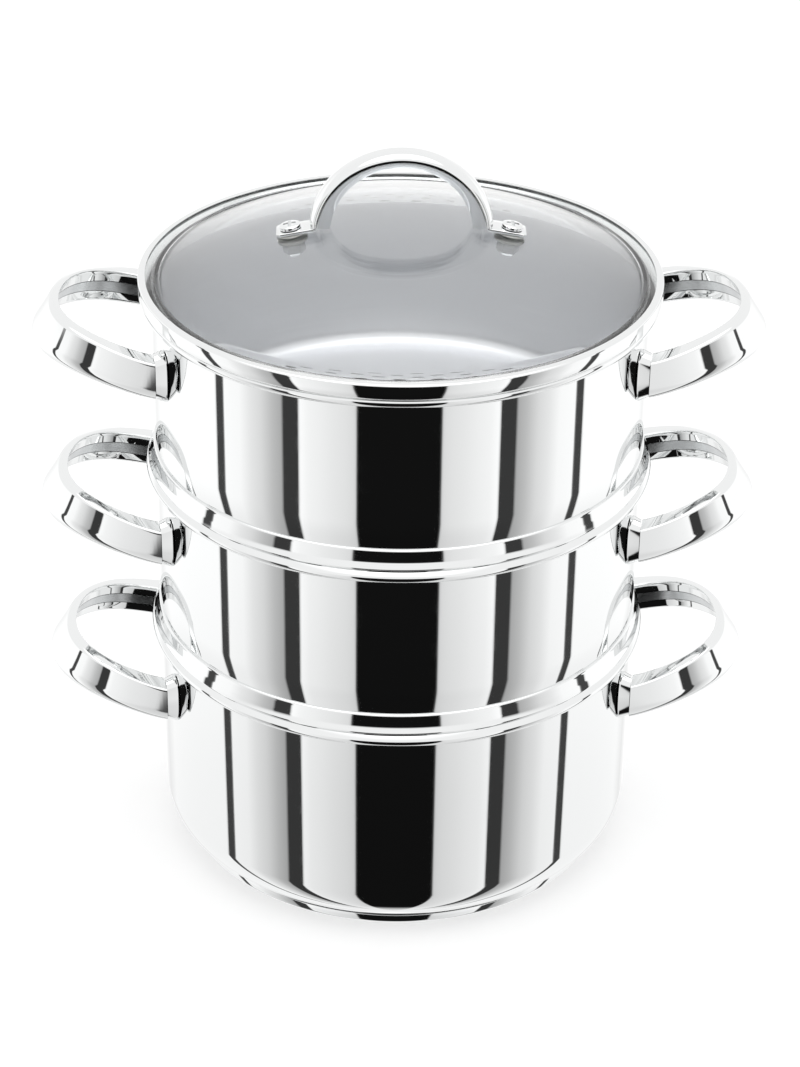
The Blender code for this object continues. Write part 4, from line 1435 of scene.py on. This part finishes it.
@dataclass
class LidHandle:
    """Arched handle of the lid: crowned cover, strap and fasteners."""

    dome: LidDome
    half_width: float = 0.0366
    rise: float = 0.03424
    cover_width: float = 0.0130
    top_depth: float = 0.0058
    foot_depth: float = 0.0083
    cover_sheet: float = 0.0010
    cover_shoulder: float = 0.0030
    side_start: float = 0.0038
    side_lean: float = 0.52
    crown_power: float = 2.5
    crown_steps: int = 24
    cover_hard_angle: float = 40.0
    strap_hard_angle: float = 50.0
    strap_width: float = 0.0104
    strap_thickness: float = 0.0012
    strap_bend: float = 0.0020
    tab_end: float = 0.0058
    tab_clip: float = 0.0018
    clip_shares: tuple[float, ...] = (0.12, 0.35, 0.65, 1.0)
    bend_steps: int = 8
    strap_round: float = 0.0002
    screw_spread: float = 0.0434
    stations: int = 73
    fastener_steps: int = 48

    head_radius: float = 0.00425
    head_height: float = 0.0019
    crown_share: float = 0.45
    shank_radius: float = 0.0020
    recess: Point = (0.0050, 0.0013, 0.0024)
    upper_seal: float = 0.0005
    lower_seal: float = 0.0010
    lower_play: float = 0.0006
    seal_radius: float = 0.0061
    seal_lip: float = 0.35
    nut_radius: float = 0.0045
    nut_height: float = 0.0050
    nut_cap: float = 0.0012
    thread_length: float = 0.0032

    @property
    def clearance(self) -> float:
        """Gap between two pieces."""
        return self.dome.clearance

    @property
    def tilt(self) -> float:
        """Lean of the glass at a screw."""
        return math.asin(self.screw_spread / self.dome.dome_radius)

    @property
    def tab_foot(self) -> float:
        """Height of a tab's underside above the glass, along the screw."""
        return 2 * self.clearance + self.upper_seal

    @property
    def tab_top(self) -> float:
        """Height of a tab's face above the glass, along the screw."""
        return self.tab_foot + self.strap_thickness

    @property
    def nut_top(self) -> float:
        """Height of a nut's seat, below the glass and its seal."""
        under = self.dome.thickness + self.lower_play + self.lower_seal
        return -under - self.clearance

    @property
    def crown_bore(self) -> float:
        """Depth at which the cover's bore is wide enough for the strap."""
        return self.cover_sheet + self.cover_shoulder / 2

    @property
    def strap_inset(self) -> float:
        """Inset of the strap's middle from the cover's face."""
        return self.crown_bore + self.clearance + self.strap_thickness / 2

    @property
    def spring(self) -> float:
        """Height at which the arch springs from the glass."""
        return self.dome.seat + self.dome.glass_height(self.half_width)

    @property
    def screw_height(self) -> float:
        """Height of the glass at a screw."""
        return self.dome.seat + self.dome.glass_height(self.screw_spread)

    def arch(self, angle: float, inset: float) -> Vector:
        """Point of the arch in the XZ plane, inset from its outer face."""
        point = Vector((self.half_width * math.cos(angle), self.rise * math.sin(angle)))
        normal = Vector((self.rise * math.cos(angle), self.half_width * math.sin(angle)))
        point = point - normal.normalized() * inset
        return Vector((point.x, point.y + self.spring))

    def cover_start(self) -> float:
        """Angle at which the cover's end clears the tab and its bend."""
        lean = self.screw_spread - self.half_width + self.crown_bore
        tab = self.screw_height + lean * math.tan(self.tilt) + self.tab_top / math.cos(self.tilt)
        return math.asin((tab + self.strap_bend / 4 + self.clearance - self.spring) / self.rise)

    def crown(self, half: float, top: float, shoulder: float) -> Outline:
        """Crowned line across the cover, from one side to the other.

        Args:
            half: Half the width.
            top: Inset of the crown's middle.
            shoulder: Inset at which the sides turn straight.

        Returns:
            (across, inset) points.
        """
        points = []
        for step in range(self.crown_steps + 1):
            angle, power = HALF * step / self.crown_steps, 2 / self.crown_power
            across = math.copysign(abs(math.cos(angle)) ** power, math.cos(angle))
            level = math.sin(angle) ** power
            points.append((half * across, shoulder - (shoulder - top) * level))
        return points

    def cover_section(self, angle: float) -> list[Point]:
        """Closed section of the cover: crowned outside, hollow inside."""
        half = self.cover_width / 2
        bore = half - self.cover_sheet
        depth = between((self.top_depth, self.foot_depth), math.cos(angle) ** 2)
        outer = self.crown(half, 0.0, self.cover_shoulder)
        inner = self.crown(bore, self.cover_sheet, self.crown_bore)
        start, lean = self.side_start, (depth - self.side_start) * self.side_lean
        outline = [(half - lean, depth), (half, start), *outer, (-half, start)]
        outline += [(lean - half, depth), (lean - bore, depth), (-bore, start)]
        outline += [*reversed(inner), (bore, start), (bore - lean, depth)]
        spots = [(self.arch(angle, inset), across) for across, inset in reversed(outline)]
        return [(spot.x, across, spot.y) for spot, across in spots]

    def cover(self) -> Mesh:
        """Crowned cover, lofted along the arch."""
        start, last = self.cover_start(), self.stations - 1
        sweep = HALF - 2 * start
        angles = [start + sweep * station / last for station in range(self.stations)]
        sections = [self.cover_section(angle) for angle in angles]
        mesh = loft("cover", sections, closed=True)
        return finished(mesh, MIRROR, hard=self.cover_hard_angle)

    def strap_path(self) -> list[Vector]:
        """Right half of the strap's middle line: tab, bend and arch to the top."""
        out = Vector((math.cos(self.tilt), -math.sin(self.tilt)))
        up = Vector((math.sin(self.tilt), math.cos(self.tilt)))
        on_glass = Vector((self.screw_spread, self.screw_height))
        middle = on_glass + up * (self.tab_foot + self.strap_thickness / 2)
        tip = middle + out * self.tab_end
        heel = self.arch(0.0, self.strap_inset)
        corner = middle + out * (heel.x - middle.x) / out.x
        foot = corner + out * self.strap_bend
        lift = corner.y + self.strap_bend - self.spring
        start = math.asin(lift / (self.rise - self.strap_inset))
        knee = self.arch(start, self.strap_inset)
        steps = self.bend_steps
        bend = [curve(foot, corner, knee, step / steps) for step in range(1, steps)]
        clipped = [tip - out * self.tab_clip * share for share in self.clip_shares]
        path = [tip, *clipped, foot, *bend]
        half = self.stations // 2
        for station in range(half + 1):
            angle = start + (QUARTER - start) * station / half
            path.append(self.arch(angle, self.strap_inset))
        return path

    def tab_half_width(self, gone: float) -> float:
        """Half width of the strap at a distance from its tip."""
        half = self.strap_width / 2
        if gone >= self.tab_clip:
            return half
        share = 1 - gone / self.tab_clip
        return half - self.tab_clip * (1 - math.sqrt(max(1 - share**2, 0.0)))

    def strap(self) -> Mesh:
        """Strap of the handle, whose ends are the two tabs."""
        right = self.strap_path()
        path = right + [Vector((-point.x, point.y)) for point in reversed(right[:-1])]
        sections = []
        for index, point in enumerate(path):
            before = path[max(index - 1, 0)]
            after = path[min(index + 1, len(path) - 1)]
            along = (after - before).normalized()
            normal = Vector((along.y, -along.x)) * self.strap_thickness / 2
            gone = min((point - path[0]).length, (point - path[-1]).length)
            half = self.tab_half_width(gone)
            face, back = point + normal, point - normal
            corners = ((face, half), (back, half), (back, -half), (face, -half))
            sections.append([(spot.x, across, spot.y) for spot, across in corners])
        mesh = loft("strap", sections, closed=True)
        return finished(mesh, MIRROR, bevel=self.strap_round, hard=self.strap_hard_angle)

    def screw(self, lathe: Lathe) -> Mesh:
        """Pan-head screw, upright at the origin."""
        foot = self.tab_top + self.clearance
        crown = self.head_height * self.crown_share
        shoulder = foot + self.head_height - crown
        end = self.nut_top - self.thread_length
        outline = arc((0.0, shoulder), (self.head_radius, crown), QUARTER, 0.0, 14)
        outline[0] = (0.0, shoulder + crown)
        outline += [
            (self.head_radius, foot),
            (self.shank_radius, foot),
            (self.shank_radius, end),
            (0.0, end),
        ]
        return lathe.turn(outline, MIRROR, steps=self.fastener_steps)

    def washer(self, lathe: Lathe, foot: float, thickness: float) -> Mesh:
        """Flat seal with rounded edges, upright at the origin."""
        bore = self.shank_radius + self.clearance
        lip = thickness * self.seal_lip
        top = foot + thickness
        outline = [(bore, top)]
        outline += arc((self.seal_radius - lip, top - lip), lip, QUARTER, 0.0, 4)
        outline += arc((self.seal_radius - lip, foot + lip), lip, 0.0, -QUARTER, 4)
        outline.append((bore, foot))
        return lathe.turn(outline, SILICONE, closed=True, steps=self.fastener_steps)

    def nut(self, lathe: Lathe) -> Mesh:
        """Six-sided cap nut with a blind bore, upright at the origin."""
        floor = self.nut_top - self.nut_height
        bore = self.shank_radius + self.clearance
        bore_end = self.nut_top - self.thread_length - self.clearance
        outline = [
            (0.0, bore_end),
            (bore, bore_end),
            (bore, self.nut_top),
            (self.nut_radius, self.nut_top),
            (self.nut_radius, floor + self.nut_cap),
            (self.nut_radius - self.nut_cap, floor),
            (0.0, floor),
        ]
        return lathe.turn(outline, SATIN, steps=6)

    def fasten(self, lathe: Lathe, copies: PairCopies) -> None:
        """Build the screws, seals and nuts at both tabs."""
        head_top = self.tab_top + self.clearance + self.head_height
        screw = CrossRecess().cut(self.screw(lathe), MIRROR, self.recess, head_top)
        top_seal = self.washer(lathe, self.clearance, self.upper_seal)
        under_seal = self.washer(lathe, self.nut_top + self.clearance, self.lower_seal)
        for label, mesh, finish, slot, part in (
            ("screws", screw, MIRROR, Slot.POLISHED, "screw"),
            ("top_seals", top_seal, SILICONE, Slot.SILICONE, "upper_seal"),
            ("under_seals", under_seal, SILICONE, Slot.SILICONE, "lower_seal"),
            ("cap_nuts", self.nut(lathe), SATIN, Slot.SATIN, "nut"),
        ):
            both = copies.copy(mesh, finish, self.screw_height, self.screw_spread, self.tilt)
            nodes = [f"lid_{side}_{part}" for side in ("left", "right")]
            place(f"lid_{label}", both, Body.LID, slot, *nodes)

    def build(self, lathe: Lathe, copies: PairCopies) -> None:
        """Build the cover, the strap and the fasteners."""
        place("lid_arch_cover", self.cover(), Body.LID, Slot.POLISHED, "lid_handle_cover")
        place("lid_arch_strap", self.strap(), Body.LID, Slot.POLISHED, "lid_handle_strap")
        self.fasten(lathe, copies)


# --------------------------------------------------------------------------
# Studio


@dataclass
class ProductCamera:
    """Camera at the photograph's angle."""

    lens: float = 91.17
    azimuth: float = -1.932
    sideways: float = 0.00097
    distance: float = 0.9899
    height: float = 0.6927
    pitch: float = 29.424
    roll: float = 0.714
    sensor_width: float = 36.0
    clip_start: float = 0.05

    def build(self) -> None:
        """Place the camera and make it the scene's."""
        data = bpy.data.cameras.new("product_camera")
        data.lens = self.lens
        data.sensor_width = self.sensor_width
        data.clip_start = self.clip_start
        camera = bpy.data.objects.new("product_camera", data)
        camera.matrix_world = (
            Matrix.Rotation(math.radians(self.azimuth), 4, "Z")
            @ Matrix.Translation((self.sideways, -self.distance, self.height))
            @ Matrix.Rotation(math.radians(90.0 - self.pitch), 4, "X")
            @ Matrix.Rotation(math.radians(self.roll), 4, "Z")
        )
        bpy.context.scene.collection.objects.link(camera)
        bpy.context.scene.camera = camera


@dataclass
class Studio:
    """White studio: softboxes and black cards round the pot, pale floor.

    The cards and boxes stand round the pot in mirrored pairs, so each is
    given by its angle from the camera's side and its brightness.
    """

    camera_azimuth: float = -1.60
    front_card: tuple[Pair, ...] = ((0.0, 0.005), (18.9, 0.005))
    front_box: tuple[Pair, ...] = (
        *((19.8, 0.62), (24.0, 0.67), (30.0, 0.71)),
        *((36.0, 0.76), (42.0, 0.80), (46.2, 0.88)),
    )
    side_card: tuple[Pair, ...] = ((47.0, 0.035), (54.4, 0.035))
    side_box: tuple[Pair, ...] = (
        *((55.2, 0.36), (60.0, 0.45), (66.0, 0.615)),
        *((72.0, 0.705), (78.0, 0.84), (87.2, 0.87)),
    )
    rear_card: tuple[Pair, ...] = ((88.0, 0.05), (92.2, 0.05))
    rear_box: tuple[Pair, ...] = (
        *((93.0, 0.89), (144.0, 0.90), (156.0, 0.76)),
        *((168.0, 0.88), (180.0, 1.0)),
    )
    box_gain: float = 1.3
    overhead: float = 2.1
    low_share: float = 0.88
    card_top: float = 8.0
    card_foot: float = -76.0

    # Where a share fades, in heights on the sphere of directions
    top_fade: Pair = (0.08, -0.04)
    foot_fade: Pair = (-0.05, 0.03)
    low_fade: Pair = (-0.60, -0.46)
    overhead_fade: Pair = (0.78, 0.92)

    floor_size: float = 8.0
    floor_drop: float = 0.0003
    floor_colour: str = "E7E7E7"
    floor_glow: float = 0.36

    def world(self) -> None:
        """Light the scene from all sides, with the boxes and cards in reflections."""
        world = bpy.data.worlds.new("white_studio")
        bpy.context.scene.world = world
        world.use_nodes = True
        tree = world.node_tree
        tree.nodes.clear()
        way = add_node(tree, "ShaderNodeTexCoord").outputs["Generated"]
        x, y, z = add_node(tree, "ShaderNodeSeparateXYZ", {0: way}).outputs
        pattern = self.round_pattern(tree, x, y)
        top, foot = (math.sin(math.radians(a)) for a in (self.card_top, self.card_foot))
        top_span = (top + self.top_fade[0], top + self.top_fade[1])
        foot_span = (foot + self.foot_fade[0], foot + self.foot_fade[1])
        upper = self.fade(tree, z, top_span, (0.0, 1.0))
        belt = maths(tree, "MULTIPLY", upper, self.fade(tree, z, foot_span, (0.0, 1.0)))
        level = self.fade(tree, z, self.low_fade, (self.low_share, 1.0))
        gain = maths(tree, "MULTIPLY", level, self.box_gain)
        pattern = maths(tree, "MULTIPLY", pattern, gain)
        above = self.fade(tree, z, self.overhead_fade, (1.0, self.overhead))
        inputs = {0: belt, 2: above, 3: pattern}
        seen = add_node(tree, "ShaderNodeMix", inputs, data_type="FLOAT").outputs[0]
        glossy = add_node(tree, "ShaderNodeLightPath").outputs["Is Glossy Ray"]
        inputs = {0: glossy, 6: linear("FFFFFF"), 7: seen}
        colour = add_node(tree, "ShaderNodeMix", inputs, data_type="RGBA").outputs[2]
        light = add_node(tree, "ShaderNodeBackground", {"Color": colour, "Strength": 1.0})
        out = add_node(tree, "ShaderNodeOutputWorld", {"Surface": light.outputs[0]})
        out.is_active_output = True

    def round_pattern(self, tree: Tree, x: Socket, y: Socket) -> Socket:
        """Return the brightness of the cards and boxes round the pot."""
        angle = maths(tree, "ARCTAN2", x, maths(tree, "MULTIPLY", y, -1.0))
        angle = maths(tree, "SUBTRACT", angle, math.radians(self.camera_azimuth))
        angle = maths(tree, "ABSOLUTE", maths(tree, "WRAP", angle, HALF, -HALF))
        ramp = add_node(tree, "ShaderNodeValToRGB", {0: maths(tree, "DIVIDE", angle, HALF)})
        stops = ramp.color_ramp.elements
        while len(stops) > 1:
            stops.remove(stops[-1])
        bands = self.front_card + self.front_box + self.side_card + self.side_box
        bands += self.rear_card + self.rear_box
        for index, (degrees, value) in enumerate(bands):
            stop = stops[0] if index == 0 else stops.new(degrees / 180.0)
            stop.position = degrees / 180.0
            stop.color = (value, value, value, 1.0)
        return ramp.outputs[0]

    @staticmethod
    def fade(tree: Tree, value: Socket, span: Pair, result: Pair) -> Socket:
        """Return a value mapped smoothly from one span to another."""
        inputs = {"Value": value, "From Min": span[0], "From Max": span[1]}
        inputs |= {"To Min": result[0], "To Max": result[1]}
        how = {"interpolation_type": "SMOOTHSTEP"}
        return add_node(tree, "ShaderNodeMapRange", inputs, **how).outputs[0]

    def floor(self) -> None:
        """Lay the pale floor, which metal doesn't mirror."""
        half = self.floor_size / 2
        mesh = bpy.data.meshes.new("floor")
        corners = [(-half, -half, 0.0), (half, -half, 0.0), (half, half, 0.0), (-half, half, 0.0)]
        mesh.from_pydata(corners, [], [(0, 1, 2, 3)])
        material = bpy.data.materials.new("floor_white_paper")
        material.use_nodes = True
        tree = material.node_tree
        tree.nodes.clear()
        matt = add_node(tree, "ShaderNodeBsdfDiffuse", {"Color": linear(self.floor_colour)})
        seen = add_node(tree, "ShaderNodeLightPath").outputs["Is Camera Ray"]
        strength = maths(tree, "MULTIPLY", seen, self.floor_glow)
        glow = add_node(tree, "ShaderNodeEmission", {"Strength": strength})
        both = add_node(tree, "ShaderNodeAddShader", {0: matt.outputs[0], 1: glow.outputs[0]})
        add_node(tree, "ShaderNodeOutputMaterial", {"Surface": both.outputs[0]})
        mesh.materials.append(material)
        floor = bpy.data.objects.new("floor", mesh)
        floor.location.z = -self.floor_drop
        floor.visible_glossy = False
        bpy.context.scene.collection.objects.link(floor)

    def build(self) -> None:
        """Build the studio and set the plain view transform."""
        self.world()
        self.floor()
        bpy.context.scene.view_settings.view_transform = "Standard"


def main() -> None:
    """Build the steamer from the base up, then the studio."""
    logging.basicConfig(level=logging.INFO, format="%(message)s")
    lathe, perforating = Lathe(), PerforatingLathe()
    handles, copies = SideHandles(), PairCopies()
    pan = Pan()
    pan.build(lathe, handles, copies)
    seat = pan.rim + pan.clearance
    lower = SteamerInsert(prefix="lower", body=Body.LOWER, seat=seat)
    lower.build(lathe, perforating, handles, copies)
    seat += lower.height + lower.clearance
    upper = SteamerInsert(prefix="upper", body=Body.UPPER, seat=seat)
    upper.build(lathe, perforating, handles, copies)
    seat += upper.height + upper.clearance
    dome = LidDome(seat=seat)
    dome.build(lathe)
    LidHandle(dome).build(lathe, copies)
    ProductCamera().build()
    Studio().build()


if __name__ == "__main__":
    main()
